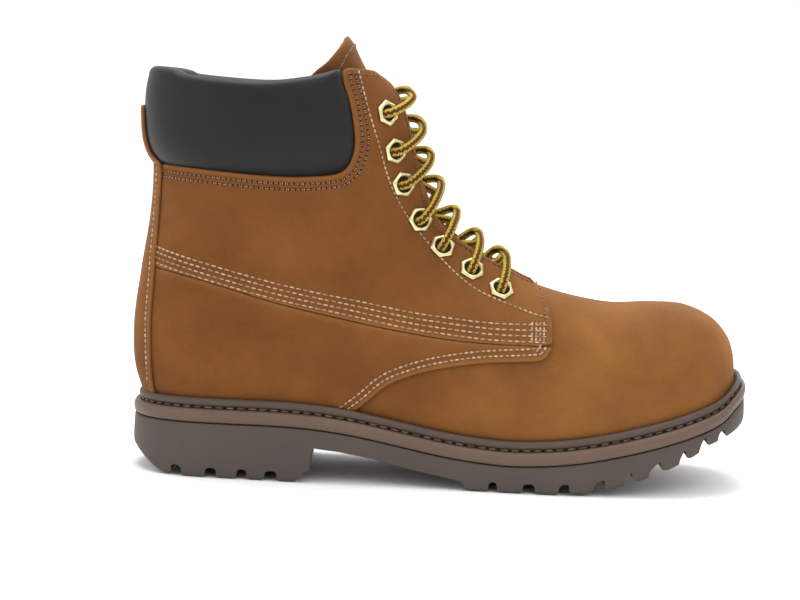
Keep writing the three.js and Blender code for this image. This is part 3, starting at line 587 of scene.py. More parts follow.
def shade(colour, *factors):
    """A lighter or darker tone of a colour: its red, green and blue, each times a factor."""
    return (*[part * factor for part, factor in zip(colour, factors)], 1.0)


def node(tree, kind, inputs=None, out=None, **settings):
    """Adds a node with its settings, and its inputs as values or links. Gives the node, or its output out."""
    made = tree.nodes.new(kind)
    for name, value in settings.items():
        setattr(made, name, value)
    for name, value in (inputs or {}).items():
        if isinstance(value, bpy.types.NodeSocket):
            tree.links.new(value, made.inputs[name])
        else:
            made.inputs[name].default_value = value
    return made if out is None else made.outputs[out]


def blank(name, **values):
    """A material with one Principled shader, and the shader's own values set on its sockets."""
    material = bpy.data.materials.new(name)
    material.use_nodes = True
    tree = material.node_tree
    tree.nodes.clear()
    sockets = {key.replace("_", " "): value for key, value in values.items()}
    shader = node(tree, "ShaderNodeBsdfPrincipled", sockets)
    node(tree, "ShaderNodeOutputMaterial", {"Surface": shader.outputs["BSDF"]})
    return material, tree, shader, node(tree, "ShaderNodeTexCoord", out="Object")


def dress(tree, shader, **links):
    """Links what feeds the shader's sockets."""
    for key, socket in links.items():
        tree.links.new(socket, shader.inputs[key.replace("_", " ")])


def grains(size_mm):
    """The noise scale whose grains are about size_mm across."""
    return 1000 / size_mm


def waves(size_mm):
    """The wave texture's scale whose bands lie 2 pi times size_mm apart, so that they show."""
    return 1000 / size_mm / 20


def nubuck(name, dark, mid, light, worn):
    """Nubuck: full-grain leather sanded to a short nap, so it is matt, with soft cloudy patches where the nap
    lies differently, painted light and shade that make the shaft's upright sides darker and the toe's top
    lighter, partly also the hide's own tone, a fine felt-like grain, paler cut edges and a little darker
    along the stitch lines."""
    material, tree, shader, place = blank(name, Roughness=0.86, Specular_IOR_Level=0.22, Sheen_Weight=0.16,
                                          Sheen_Roughness=0.45, Sheen_Tint=linear("#e0a868"))
    patches, stroked, nap = [
        node(tree, NOISE, {"Vector": place, "Scale": grains(size), "Detail": detail, "Roughness": rough}, 0)
        for size, detail, rough in ((42, 3.5, 0.6), (9, 4, 0.6), (1.1, 2, 0.7))
    ]
    clouds = node(tree, "ShaderNodeValToRGB", {"Fac": patches})
    stops = clouds.color_ramp.elements
    stops.new(0.5)
    for stop, (at, tone) in zip(stops, ((0.3, dark), (0.5, mid), (0.72, light))):
        stop.position, stop.color = at, tone
    share = node(tree, MATH, {0: stroked, 1: 0.5, 2: -0.08}, 0, operation="MULTIPLY_ADD")
    tone = node(tree, MIX, {0: share, 6: clouds.outputs["Color"], 7: mid}, 2, data_type="RGBA")
    share = node(tree, MATH, {0: nap, 1: 0.34, 2: -0.06}, 0, operation="MULTIPLY_ADD")
    tone = node(tree, MIX, {0: share, 6: tone, 7: dark}, 2, data_type="RGBA", blend_type="MULTIPLY")
    # Painted light and shade, partly also the hide's own tone: from back to front the colour is multiplied
    # darker over the shaft's upright sides and lighter over the toe's top.
    along = node(tree, "ShaderNodeSeparateXYZ", {0: place}, "X")
    front = node(tree, "ShaderNodeMapRange", {"Value": along, "From Min": -0.04, "From Max": 0.09}, "Result")
    hide_tone_and_painted_light = node(tree, MIX, {0: front, 6: (0.8, 0.73, 0.59, 1), 7: (1.09, 1.12, 1.03, 1)}, 2,
                 data_type="RGBA")
    tone = node(tree, MIX, {0: 1.0, 6: tone, 7: hide_tone_and_painted_light}, 2, data_type="RGBA", blend_type="MULTIPLY")
    # The edge mark pales the cut edges; the seam mark darkens the colour a little along the stitch lines.
    for mark, most, colour in (("edge", 0.4, worn), ("seam", 0.2, dark)):
        near = node(tree, "ShaderNodeAttribute", out="Fac", attribute_name=mark)
        share = node(tree, MATH, {0: near, 1: most, 2: 0.0}, 0, operation="MULTIPLY_ADD")
        tone = node(tree, MIX, {0: share, 6: tone, 7: colour}, 2, data_type="RGBA")
    fine = node(tree, BUMP, {"Height": nap, "Distance": 0.12 * MM, "Strength": 0.5}, 0)
    felt = node(tree, BUMP, {"Height": stroked, "Distance": 0.5 * MM, "Strength": 0.35, "Normal": fine}, 0)
    dress(tree, shader, Base_Color=tone, Normal=felt)
    return material


def smooth_leather(name, colour, painted_sheen):
    """Corrected-grain leather stretched over foam: a thin finish coat, a fine pebbled grain about half a
    millimetre across, drawn twice as coarse so that it shows, a soft, broad shine, and broad patches of
    painted sheen in a lighter tone."""
    material, tree, shader, place = blank(name, Roughness=0.5, Specular_IOR_Level=0.24, Coat_Weight=0.05,
                                          Coat_Roughness=0.4)
    # Painted sheen: broad noise patches mixed toward a lighter tone of the leather.
    patches = node(tree, NOISE, {"Vector": place, "Scale": grains(30), "Detail": 2, "Roughness": 0.55}, "Fac")
    share = node(tree, MATH, {0: patches, 1: 0.6, 2: 0.0}, 0, operation="MULTIPLY_ADD")
    tone = node(tree, MIX, {0: share, 6: colour, 7: painted_sheen}, 2, data_type="RGBA")
    rough = node(tree, MATH, {0: patches, 1: 0.16, 2: 0.42}, 0, operation="MULTIPLY_ADD")
    pebbles = node(tree, "ShaderNodeTexVoronoi", {"Vector": place, "Scale": grains(0.9)}, "Distance",
                   feature="DISTANCE_TO_EDGE")
    grain = node(tree, BUMP, {"Height": pebbles, "Distance": 0.05 * MM, "Strength": 0.35}, 0)
    dents = node(tree, NOISE, {"Vector": place, "Scale": grains(12), "Detail": 3, "Roughness": 0.55}, "Fac")
    dented = node(tree, BUMP, {"Height": dents, "Distance": 0.6 * MM, "Strength": 0.15, "Normal": grain}, 0)
    dress(tree, shader, Base_Color=tone, Roughness=rough, Normal=dented)
    return material


def cloth(name, colour, shadow, thread_mm):
    """Woven lining cloth: threads crossing at right angles, drawn as two sets of waves, with a soft sheen.
    They are drawn about six times as coarse as real threads, so that they show."""
    material, tree, shader, place = blank(name, Roughness=0.95, Sheen_Weight=0.3, Sheen_Roughness=0.5)
    threads = {"Vector": place, "Scale": waves(thread_mm), "Distortion": 0.6}
    sets = [node(tree, "ShaderNodeTexWave", threads, "Fac", bands_direction=axis) for axis in ("X", "Z")]
    weave = node(tree, MATH, {0: sets[0], 1: sets[1]}, 0, operation="MULTIPLY")
    tone = node(tree, MIX, {0: weave, 6: shadow, 7: colour}, 2, data_type="RGBA")
    relief = node(tree, BUMP, {"Height": weave, "Distance": 0.2 * MM, "Strength": 0.6}, 0)
    dress(tree, shader, Base_Color=tone, Normal=relief)
    return material


def moulded_rubber(name, colour, light, roughness, speckle_mm=2.5):
    """Moulded rubber: an even, slightly waxy colour with faint flow marks and the mould's fine texture."""
    material, tree, shader, place = blank(name, Roughness=roughness, Specular_IOR_Level=0.4)
    flow, specks, skin_marks = [
        node(tree, NOISE, {"Vector": place, "Scale": grains(size), "Detail": detail, "Roughness": rough}, 0)
        for size, detail, rough in ((25, 3, 0.55), (speckle_mm, 3, 0.7), (0.7, 2, 0.55))
    ]
    share = node(tree, MATH, {0: flow, 1: 0.9, 2: -0.1}, 0, operation="MULTIPLY_ADD")
    tone = node(tree, MIX, {0: share, 6: colour, 7: light}, 2, data_type="RGBA")
    share = node(tree, MATH, {0: specks, 1: 0.3, 2: -0.05}, 0, operation="MULTIPLY_ADD")
    tone = node(tree, MIX, {0: share, 6: tone, 7: light}, 2, data_type="RGBA")
    rough = node(tree, MATH, {0: specks, 1: 0.2, 2: roughness - 0.1}, 0, operation="MULTIPLY_ADD")
    relief = node(tree, BUMP, {"Height": skin_marks, "Distance": 0.06 * MM, "Strength": 0.5}, 0)
    dress(tree, shader, Base_Color=tone, Roughness=rough, Normal=relief)
    return material


def metal(name, colour, roughness, streak_mm):
    """Pressed and plated sheet metal: bright, with faint polishing streaks that break up the reflections."""
    material, tree, shader, place = blank(name, Base_Color=colour, Metallic=1.0, Roughness=roughness)
    streaks = node(tree, NOISE, {"Vector": place, "Scale": grains(streak_mm), "Detail": 4, "Roughness": 0.7},
                   "Fac")
    rough = node(tree, MATH, {0: streaks, 1: 0.25, 2: roughness - 0.1}, 0, operation="MULTIPLY_ADD")
    relief = node(tree, BUMP, {"Height": streaks, "Distance": 0.03 * MM, "Strength": 0.3}, 0)
    dress(tree, shader, Roughness=rough, Normal=relief)
    return material


def fibre_board(name, colour, shadow):
    """Pressed fibre board: matt, with short fibres of two tones."""
    material, tree, shader, place = blank(name, Roughness=0.95)
    fibres = node(tree, NOISE, {"Vector": place, "Scale": grains(3), "Detail": 5, "Roughness": 0.8}, "Fac")
    tone = node(tree, MIX, {0: fibres, 6: colour, 7: shadow}, 2, data_type="RGBA")
    relief = node(tree, BUMP, {"Height": fibres, "Distance": 0.2 * MM, "Strength": 0.5}, 0)
    dress(tree, shader, Base_Color=tone, Normal=relief)
    return material


def spun_thread(name, colour, shadow):
    """Bonded polyester sewing thread: a slight waxy shine and twisted plies, drawn as bands a few
    millimetres apart, far coarser than real ones, so that they show."""
    material, tree, shader, place = blank(name, Roughness=0.55, Sheen_Weight=0.2)
    plies = node(tree, "ShaderNodeTexWave", {"Vector": place, "Scale": waves(0.8), "Distortion": 1.5}, "Fac",
                 bands_direction="DIAGONAL")
    tone = node(tree, MIX, {0: plies, 6: shadow, 7: colour}, 2, data_type="RGBA")
    relief = node(tree, BUMP, {"Height": plies, "Distance": 0.1 * MM, "Strength": 0.5}, 0)
    dress(tree, shader, Base_Color=tone, Normal=relief)
    return material


def braid(name, light, light_shadow, dark, dark_shadow):
    """Braided polyester lace: two lengthwise bands of light strands and two of dark ones, whose edges zigzag
    where the strands cross, with a dark line between strands. Its own map runs in millimetres along it and
    in turns round it."""
    material, tree, shader, _ = blank(name, Roughness=0.75, Specular_IOR_Level=0.25)
    split = node(tree, "ShaderNodeSeparateXYZ", {0: node(tree, "ShaderNodeUVMap", out="UV", uv_map="run")})
    run, turn = split.outputs["X"], split.outputs["Y"]
    zigzag = node(tree, MATH, {0: run, 1: 1.05}, 0, operation="PINGPONG")
    sway = node(tree, MATH, {0: zigzag, 1: 0.07, 2: -0.037}, 0, operation="MULTIPLY_ADD")
    swayed = node(tree, MATH, {0: sway, 1: turn}, 0, operation="ADD")
    twice = node(tree, MATH, {0: swayed, 1: 4 * math.pi, 2: 0.0}, 0, operation="MULTIPLY_ADD")
    wave = node(tree, MATH, {0: twice}, 0, operation="COSINE")
    band = node(tree, MATH, {0: wave, 1: 0.62}, 0, operation="GREATER_THAN")
    fold = node(tree, MATH, {0: turn, 1: 0.25}, 0, operation="PINGPONG")
    strands = [node(tree, MATH, {0: given, 1: factor, 2: 0.0}, 0, operation="MULTIPLY_ADD")
               for given, factor in ((run, 0.952), (fold, 4.0))]
    slant = node(tree, MATH, {0: strands[0], 1: strands[1]}, 0, operation="ADD")
    strand = node(tree, MATH, {0: slant, 1: 0.5}, 0, operation="PINGPONG")
    twice = node(tree, MATH, {0: strand, 1: 2.0, 2: 0.0}, 0, operation="MULTIPLY_ADD")
    rise = node(tree, "ShaderNodeValToRGB", {"Fac": twice})
    for stop, (at, tone) in zip(rise.color_ramp.elements, ((0.05, "#000000"), (0.45, "#ffffff"))):
        stop.position, stop.color = at, linear(tone)
    lift = rise.outputs["Color"]
    tones = [node(tree, MIX, {0: lift, 6: low, 7: high}, 2, data_type="RGBA")
             for low, high in ((light_shadow, light), (dark_shadow, dark))]
    tone = node(tree, MIX, {0: band, 6: tones[0], 7: tones[1]}, 2, data_type="RGBA")
    relief = node(tree, BUMP, {"Height": lift, "Distance": 0.25 * MM, "Strength": 0.7}, 0)
    dress(tree, shader, Base_Color=tone, Normal=relief)
    return material


def torn_hole(name, colour, shadow):
    """The inside of a needle hole: leather in full shade, with its torn fibres."""
    material, tree, shader, place = blank(name, Roughness=1.0)
    fibres = node(tree, NOISE, {"Vector": place, "Scale": grains(0.8), "Detail": 2, "Roughness": 0.55}, "Fac")
    tone = node(tree, MIX, {0: fibres, 6: colour, 7: shadow}, 2, data_type="RGBA")
    dress(tree, shader, Base_Color=tone)
    return material


MATERIALS = {}


def make_materials(paint):
    """Every material of the boot, from the colours that a user sets."""
    leather, tongue = paint.nubuck, shade(paint.nubuck, 0.898, 0.923, 0.952)
    sole, middle, welt, rubber = paint.outsole, paint.midsole, paint.welt, moulded_rubber
    MATERIALS.update(
        nubuck=nubuck("Sanded nubuck, wheat", shade(leather, 0.757, 0.734, 0.815), leather,
                      shade(leather, 1.283, 1.378, 1.437), shade(leather, 1.517, 1.79, 2.517)),
        tongue=nubuck("Sanded nubuck, tongue", shade(tongue, 0.747, 0.749, 0.857), tongue,
                      shade(tongue, 1.276, 1.327, 1.326), shade(tongue, 1.429, 1.598, 2.07)),
        # The collar's lighter tone is its painted sheen.
        collar=smooth_leather("Corrected-grain leather, black", paint.collar,
                              shade(paint.collar, 1.807, 1.946, 1.903)),
        lining=cloth("Woven lining cloth, tan", linear("#a98558"), linear("#6e4f30"), 0.9),
        footbed=cloth("Needled footbed cloth, black", linear("#2c2c2e"), linear("#18181a"), 1.2),
        outsole=rubber("Moulded rubber, dark taupe", sole, shade(sole, 1.448, 1.469, 1.463), 0.62),
        midsole=rubber("Moulded rubber, taupe", middle, shade(middle, 1.403, 1.398, 1.39), 0.5),
        welt=rubber("Extruded rubber welt, brown", welt, shade(welt, 1.441, 1.501, 1.527), 0.52),
        strip=rubber("Cut rubber strip, black", linear("#2a2928"), linear("#3a3836"), 0.7),
        brass=metal("Pressed brass, pale lacquered", paint.eyelets, 0.3, 1.5),
        steel=metal("Pressed steel, oiled", linear("#8f9296"), 0.38, 3),
        board=fibre_board("Pressed fibre board, grey-brown", linear("#8d8272"), linear("#6f6556")),
        thread=spun_thread("Bonded sewing thread, cream", paint.thread,
                           shade(paint.thread, 0.53, 0.478, 0.431)),
        brown_thread=spun_thread("Bonded sewing thread, brown", linear("#6b4023"), linear("#4a2a16")),
        welt_thread=spun_thread("Waxed welt thread, taupe", linear("#6b584c"), linear("#4a3a30")),
        hole=torn_hole("Needle hole in nubuck", linear("#2c190c"), linear("#1d0f07")),
        lace=braid("Braided lace, two colours", paint.lace_edges,
                   shade(paint.lace_edges, 0.215, 0.175, 0.143),
                   paint.lace_middle, shade(paint.lace_middle, 0.226, 0.278, 0.401)),
        aglet=rubber("Extruded plastic tip, brown", linear("#3a241a"), linear("#4a3024"), 0.35),
    )


# ---- what repeats ----
def new_tree(name, sockets):
    """A tree with its named inputs, and the outputs of its input node."""
    tree = bpy.data.node_groups.new(name, "GeometryNodeTree")
    tree.interface.new_socket("Geometry", in_out="INPUT", socket_type="NodeSocketGeometry")
    for label, kind, default in sockets:
        made = tree.interface.new_socket(label, in_out="INPUT", socket_type=kind)
        if default is not None:
            made.default_value = default
    tree.interface.new_socket("Geometry", in_out="OUTPUT", socket_type="NodeSocketGeometry")
    return tree, node(tree, "NodeGroupInput").outputs


def end_tree(tree, instances, material):
    """Ends a tree: the copies made real, with their material."""
    real = node(tree, "GeometryNodeRealizeInstances", {"Geometry": instances})
    painted = node(tree, "GeometryNodeSetMaterial", {"Geometry": real.outputs[0], "Material": material})
    node(tree, "NodeGroupOutput", {"Geometry": painted.outputs[0]})


def row_tree():
    """Bean-shaped pieces along lines, each turned to its line: thread between needle holes, or the holes."""
    tree, given = new_tree("Row of stitches", [
        ("Pitch", "NodeSocketFloat", 0.003), ("Shift", "NodeSocketFloat", 0.0),
        ("Size", "NodeSocketVector", (0.001, 0.001, 0.001)), ("Material", "NodeSocketMaterial", None)])
    line = node(tree, "GeometryNodeMeshToCurve", {"Mesh": given["Geometry"]})
    dots = node(tree, "GeometryNodeCurveToPoints", {"Curve": line.outputs[0], "Length": given["Pitch"]},
                mode="LENGTH").outputs
    bean = node(tree, "GeometryNodeMeshUVSphere", {"Segments": 8, "Rings": 4, "Radius": 1.0})
    soft = node(tree, "GeometryNodeSetShadeSmooth", {0: bean.outputs[0]})
    rows = node(tree, "GeometryNodeInstanceOnPoints", {"Points": dots["Points"], "Instance": soft.outputs[0],
                                                       "Rotation": dots["Rotation"], "Scale": given["Size"]})
    shift = node(tree, "ShaderNodeCombineXYZ", {"Z": given["Shift"]})
    moved = node(tree, "GeometryNodeTranslateInstances", {"Instances": rows.outputs[0],
                                                          "Translation": shift.outputs[0]})
    end_tree(tree, moved.outputs[0], given["Material"])
    return tree


def mark_tree():
    """One copy of a piece at each mark, turned as the mark says."""
    tree, given = new_tree("Pieces at marks", [("Piece", "NodeSocketObject", None),
                                               ("Material", "NodeSocketMaterial", None)])
    piece = node(tree, "GeometryNodeObjectInfo", {"Object": given["Piece"]})
    turn = node(tree, "GeometryNodeInputNamedAttribute", {"Name": "turn"}, data_type="FLOAT_VECTOR")
    turned = node(tree, "FunctionNodeEulerToRotation", {0: turn.outputs["Attribute"]})
    copies = node(tree, "GeometryNodeInstanceOnPoints", {"Points": given["Geometry"],
                                                         "Rotation": turned.outputs[0],
                                                         "Instance": piece.outputs["Geometry"]})
    end_tree(tree, copies.outputs[0], given["Material"])
    return tree


def grow(name, mesh, tree, values):
    """An object whose mesh is what the tree makes from the given mesh."""
    obj = bpy.data.objects.new(name, mesh)
    bpy.context.scene.collection.objects.link(obj)
    modifier = obj.modifiers.new("make", "NODES")
    modifier.node_group = tree
    sockets = {item.name: item.identifier for item in tree.interface.items_tree if item.in_out == "INPUT"}
    for label, value in values.items():
        modifier[sockets[label]] = value
    bpy.context.view_layer.update()
    made = bpy.data.meshes.new_from_object(obj.evaluated_get(bpy.context.evaluated_depsgraph_get()))
    obj.modifiers.clear()
    obj.data = made
    made.name = name
    if not made.vertices:
        raise RuntimeError(f"{name} came out empty")
    return obj


def line_mesh(name, lines):
    """Open lines of points, in millimetres on the form, as edges in metres."""
    verts, edges = [], []
    for line in lines:
        start = len(verts)
        verts += [tuple(p) for p in (np.asarray(line) + OFFSET) * MM]
        edges += [(start + k, start + k + 1) for k in range(len(line) - 1)]
    mesh = bpy.data.meshes.new(name)
    mesh.from_pydata(verts, edges, [])
    return mesh


def sew(name, lines, pitch, radius, body, material, tree):
    """A row of thread stitches along each line, each four fifths of a pitch long."""
    size = (radius * MM, radius * MM, 0.4 * pitch * MM)
    values = {"Pitch": pitch * MM, "Shift": pitch / 2 * MM, "Size": size, "Material": material}
    own(grow(name, line_mesh(name, lines), tree, values), body, "thread")


def pierce(name, lines, pitch, radius, body, tree):
    """A row of needle holes along each line, at the ends of its stitches: dark beans painted as the shade
    inside each hole.
    """
    values = {"Pitch": pitch * MM, "Shift": 0.0, "Size": (radius * MM, radius * MM, radius * 1.25 * MM),
              "Material": MATERIALS["hole"]}
    own(grow(name, line_mesh(name, lines), tree, values), body, "nubuck")


# ---- outlines of the upper's panels, as (along, around) on the lateral side ----
THROAT = [(8.75, 9.0), (9.3, 10.2), (10.0, 11.6), (10.8, 12.3)]


def opening_edge(inset=0.0, top=19.6, count=90):
    """The throat's edge on the lateral side, drawn in by inset, up to the loop top."""
    along = np.linspace(THROAT[0][0], top, count)
    half = np.interp(along, *np.array(THROAT).T) + inset
    return np.stack([along, around_at(along, half)], 1)


def mirrored(places, side):
    """Places carried over to the given side."""
    return places * np.array([1, side])


def joined(*parts):
    """Rows of points, one after the other."""
    return np.vstack(parts)


def collar_gap(points):
    """How far points of the form lie inside the collar's lower and front edge; negative outside it."""
    flat = np.stack([points[:, 0], np.zeros(len(points)), points[:, 2]], 1)
    line = through(COLLAR_EDGE, 500)
    gap = nearest(flat, np.stack([line[:, 0], np.zeros(500), line[:, 1]], 1))
    ring = np.vstack([line, [(-149, 230), (-53.4, 230)]])
    ring[:, 0] = np.where(ring[:, 0] < -148, -260, ring[:, 0])
    return np.where(winding(ring, flat[:, [0, 2]]), gap, -gap)


def collar_face(points):
    """The padded collar's distance from the form: low at its stitched edge and full 15 mm inside it."""
    gap = collar_gap(points)
    inside = np.clip(gap / 15, 0, 1)
    return 0.7 + COLLAR_BULGE * 1.15 * np.sqrt(1 - (1 - inside) ** 2) - 1.9 * np.clip(-gap / 1.2, 0, 1)


def spot_behind(y, z):
    """(along, around) near the back rail, y millimetres from the middle at height z."""
    around = 0.9
    for _ in range(4):
        along = float(along_height(around, z))
        low, high = 0.5, 1.0
        for _ in range(30):
            middle = (low + high) / 2
            inside = abs(form_point(along, middle)[1]) < y
            low, high = (low, middle) if inside else (middle, high)
        around = low
    return along, around


# ---- settings and panel ----
class BootLooks(bpy.types.PropertyGroup):
    """Sizes of the boot's stitches, panels and sole."""

    stitch_pitch: FloatProperty(name="Stitch pitch", description="From one needle hole to the next",
                                default=0.0027, min=0.001, unit="LENGTH")
    thread_radius: FloatProperty(name="Thread radius", description="Half the sewing thread's thickness",
                                 default=0.0005, min=0.0001, unit="LENGTH")
    panel_spacing: FloatProperty(name="Panel spacing", description="Between a leather panel's points",
                                 default=0.0024, min=0.001, unit="LENGTH")
    edge_rounding: FloatProperty(name="Edge rounding", description="Of a panel's cut edge", default=0.0008,
                                 min=0.0001, unit="LENGTH")
    sole_points: IntProperty(name="Sole points", description="Round the sole's outline", default=340, min=60)


def paint(name, code, description):
    """A colour that a user can change."""
    return FloatVectorProperty(name=name, description=description, subtype="COLOR", size=4,
                               default=linear(code), min=0, max=1)


class BootColours(bpy.types.PropertyGroup):
    """Colours of the boot's leathers, metal, thread, lace and rubber."""

    nubuck: paint("Nubuck", "#7b4d23", "The sanded leather of the vamp, quarters, facings and backstay")
    collar: paint("Collar", "#0b0b0c", "The smooth leather over the padded collar")
    thread: paint("Thread", "#b89c80", "The sewing thread of the side seams")
    eyelets: paint("Eyelets", "#d8cfa0", "The pressed eyelets")
    lace_edges: paint("Lace edges", "#bfa83a", "The light strands of the lace")
    lace_middle: paint("Lace middle", "#5a2c12", "The dark strands of the lace")
    welt: paint("Welt", "#41332b", "The bead round the top of the sole")
    midsole: paint("Midsole", "#554236", "The smooth upper layer of the sole")
    outsole: paint("Outsole", "#403732", "The lugged lower layer of the sole")


class StageLooks(bpy.types.PropertyGroup):
    """The stage's colour and camera."""

    floor_colour: paint("Floor", "#fbfbfb", "The pale floor and backdrop")
    lens: FloatProperty(name="Lens", description="Focal length of the camera", default=94.3, min=10,
                        unit="CAMERA")
    camera_distance: FloatProperty(name="Camera distance", description="From the boot's middle line",
                                   default=1.05, unit="LENGTH")


class Maker:
    """What every operator of this add-on shares."""

    bl_options = {"REGISTER", "UNDO"}

    def execute(self, context):
        self.make(context.scene.boot_looks)
        return {"FINISHED"}


class BOOT_OT_upper(Maker, bpy.types.Operator):
    """Makes the vamp, the quarters and the facings"""

    bl_idname = "boot.upper"
    bl_label = "Upper"

    def make(self, looks):
        options = {"spacing": looks.panel_spacing / MM, "rounding": looks.edge_rounding / MM}
        for name, side in SIDES:
            self.quarter_upper(name, side, options)
            self.quarter_lower(name, side, options)
            self.facing(name, side, options)
        self.vamp(options)

    def quarter_upper(self, name, side, options):
        """The upper quarter, from the collar's edge down to the seam."""
        edge = side_line(COLLAR_EDGE, count=120)[::-1]
        edge = edge[form_point(*edge.T)[:, 2] < 200.9]
        down = np.linspace(edge[0][0], side_line(SEAM)[-1][0], 30)
        back = np.stack([down, np.full(30, 0.988)], 1)
        front = side_line(QUARTER_FRONT[:3], count=12)
        outline = joined(back[::-1], edge, side_line([(-53, 201), (-46, 200.7), (-39.5, 199.8)], count=8)[1:],
                         opening_edge()[::-1], front[::-1], side_line(SEAM, count=120))
        rows = [offset_line(SEAM_ROW, d) for d in (0, 2.5, 5, 7.5)]
        creases = [locate(offset_line(COLLAR_EDGE[::-1], -d, 200)[8:-8]) for d in (3.3, 6)]
        creases += [locate(r) for r in rows] + [side_line(EYESTAY, count=150), opening_edge(2.0)]
        creases = [c[(c[:, 1] < 0.985) & (c[:, 0] > 7)] for c in creases]
        row = joined(*[locate(r) for r in rows])
        lap = on_form(row, np.zeros(len(row)))

        def outer(places, base):
            near = nearest(base * np.array([1, side, 1]), lap)
            return QUARTER[1] + 0.45 * np.exp(-((near / 3.2) ** 4))

        obj = panel(f"quarter_upper_{name}_leather", mirrored(outline, side), QUARTER, MATERIALS["nubuck"],
                    creases=[mirrored(c, side) for c in creases], outer_of=outer, **options)
        own(obj, BODY, "nubuck", f"quarter_upper_{name}")

    def quarter_lower(self, name, side, options):
        """The lower quarter, from the seam down to the welt."""
        foot = side_line(QUARTER_FOOT, count=120)
        rim = feather_path(-3.8)
        x = form_point(*rim.T)[:, 0]
        bottom = rim[(x < -44) & (rim[:, 1] < 0.985)]
        seam = locate(offset_line(SEAM, 0.35, 120))
        seam = seam[seam[:, 1] < 0.985]
        up = np.linspace(bottom[-1][0], seam[-1][0], 30)
        back = np.stack([up, np.full(30, 0.988)], 1)
        outline = joined(seam[::-1], foot, bottom, back)
        creases = [locate(offset_line(QUARTER_FOOT, -d, 160)[3:-3]) for d in (2.6, 5.2)]
        obj = panel(f"quarter_lower_{name}_leather", mirrored(outline, side), QUARTER, MATERIALS["nubuck"],
                    creases=[mirrored(c, side) for c in creases], **options)
        own(obj, BODY, "nubuck", f"quarter_lower_{name}")

    def facing(self, name, side, options):
        """The facing behind the eyelets."""
        edge = opening_edge(0.15)
        back = side_line(EYESTAY[:-1], count=120)
        outline = joined(edge, back)
        obj = panel(f"facing_{name}_leather", mirrored(outline, side), FACING, MATERIALS["nubuck"], **options)
        own(obj, BODY, "nubuck", f"facing_{name}")

    def vamp(self, options):
        """The vamp: toe and front in one piece."""
        rim = feather_path(-3.9)
        x = form_point(*rim.T)[:, 0]
        rim = rim[x > -62]
        over = [(-62, 36), (-44, 48), (-28, 60), (-8, 68), (14, 73), (30, 77), (34, 84), (37, 97)]
        over = side_line(over, count=60)
        half = joined(rim, over)
        ridge = np.array([[9.25, 0.0]])
        outline = joined(half, ridge, mirrored(half, -1)[::-1])
        obj = panel("vamp_leather", outline, VAMP, MATERIALS["nubuck"], **options)
        own(obj, BODY, "nubuck", "vamp")


class BOOT_OT_backstay(Maker, bpy.types.Operator):
    """Makes the strip up the back of the heel, with its tab over the collar"""

    bl_idname = "boot.backstay"
    bl_label = "Backstay"

    TAB = [(17, 153.5), (12.5, 158), (11, 166), (10.3, 174), (8.6, 178.4), (5, 180)]

    def make(self, looks):
        edge = side_line(BACKSTAY_EDGE, count=90)
        tab = np.array([spot_behind(y, z) for y, z in self.TAB])
        rim = feather_path(-3.0, count=300)
        rim = rim[rim[:, 0] > edge[0][0]]
        half = joined(rim[::-1], edge, even(tab, 24))
        outline = joined(half, mirrored(half, -1)[::-1])
        outline[:, 1] = np.where(outline[:, 1] < -0.9999, -0.9999, outline[:, 1])

        def outer(places, base):
            return np.maximum(QUARTER[1], collar_face(base)) + 0.3 + BACKSTAY

        def inner(places, base):
            return outer(places, base) - BACKSTAY

        creases = [mirrored(backstay_line(), side) for _, side in SIDES]
        obj = panel("backstay_leather", outline, (2.6, 4.3), MATERIALS["nubuck"], creases=creases,
                    outer_of=outer, inner_of=inner, spacing=2.0, rounding=looks.edge_rounding / MM)
        own(obj, BODY, "nubuck", "backstay")


def backstay_line():
    """The stitch line inside the backstay's side edge, on the lateral side."""
    places = side_line([(x - 1.6, z) for x, z in BACKSTAY_EDGE[1:]], count=100)
    return places[places[:, 1] < 0.99]


class BOOT_OT_collar(Maker, bpy.types.Operator):
    """Makes the padded collar, which rolls over the top edge into the shaft"""

    bl_idname = "boot.collar"
    bl_label = "Padded collar"

    def make(self, looks):
        columns, rows, roll = 150, 26, 14
        heights = np.linspace(0, 1, rows)
        low = through([(-40, 146), (-57, 146.6), (-81.5, 145.5), (-120.5, 147.6), (-160, 149.2)], 300)
        top = through(COLLAR_TOP, 300)
        grid = []
        share = np.linspace(0, 1, columns)
        start = locate(np.array([[-44.6, 170.0]]))[0][1]
        around = start + (2 - 2 * start) * share
        around = np.where(around > 1, around - 2, around)
        rail = form_point(along_height(around, 190.0), around)
        bottom_z = np.interp(-rail[:, 0], -low[:, 0], low[:, 1])
        top_z = np.interp(-rail[:, 0], -top[:, 0], top[:, 1])
        tip = form_point(along_height(around, top_z - 6), around)
        outside = collar_face(tip)
        half = (outside - LINING[0]) / 2
        centre = LINING[0] + half
        for t in heights:
            z = bottom_z + t * (top_z - half - bottom_z)
            along = along_height(around, z)
            grid.append(skin(along, around, collar_face(form_point(along, around))))
        for angle in np.linspace(0, math.pi, roll)[1:]:
            here = along_height(around, top_z - half)
            points = skin(here, around, centre + half * math.cos(angle))
            points[:, 2] += half * math.sin(angle)
            grid.append(points)
        for down in (4, 9, 15):
            along = along_height(around, top_z - half - down)
            grid.append(skin(along, around, np.full(columns, LINING[0])))
        for down in (15, 30, 46):
            along = along_height(around, np.maximum(top_z - half - down, bottom_z))
            grid.append(skin(along, around, np.full(columns, LINING[0] + 2.6)))
        grid = np.array(grid).transpose(1, 0, 2)
        obj = grid_shell("padded_collar", grid, MATERIALS["collar"])
        own(obj, BODY, "collar_leather", "collar_cover", "collar_foam")


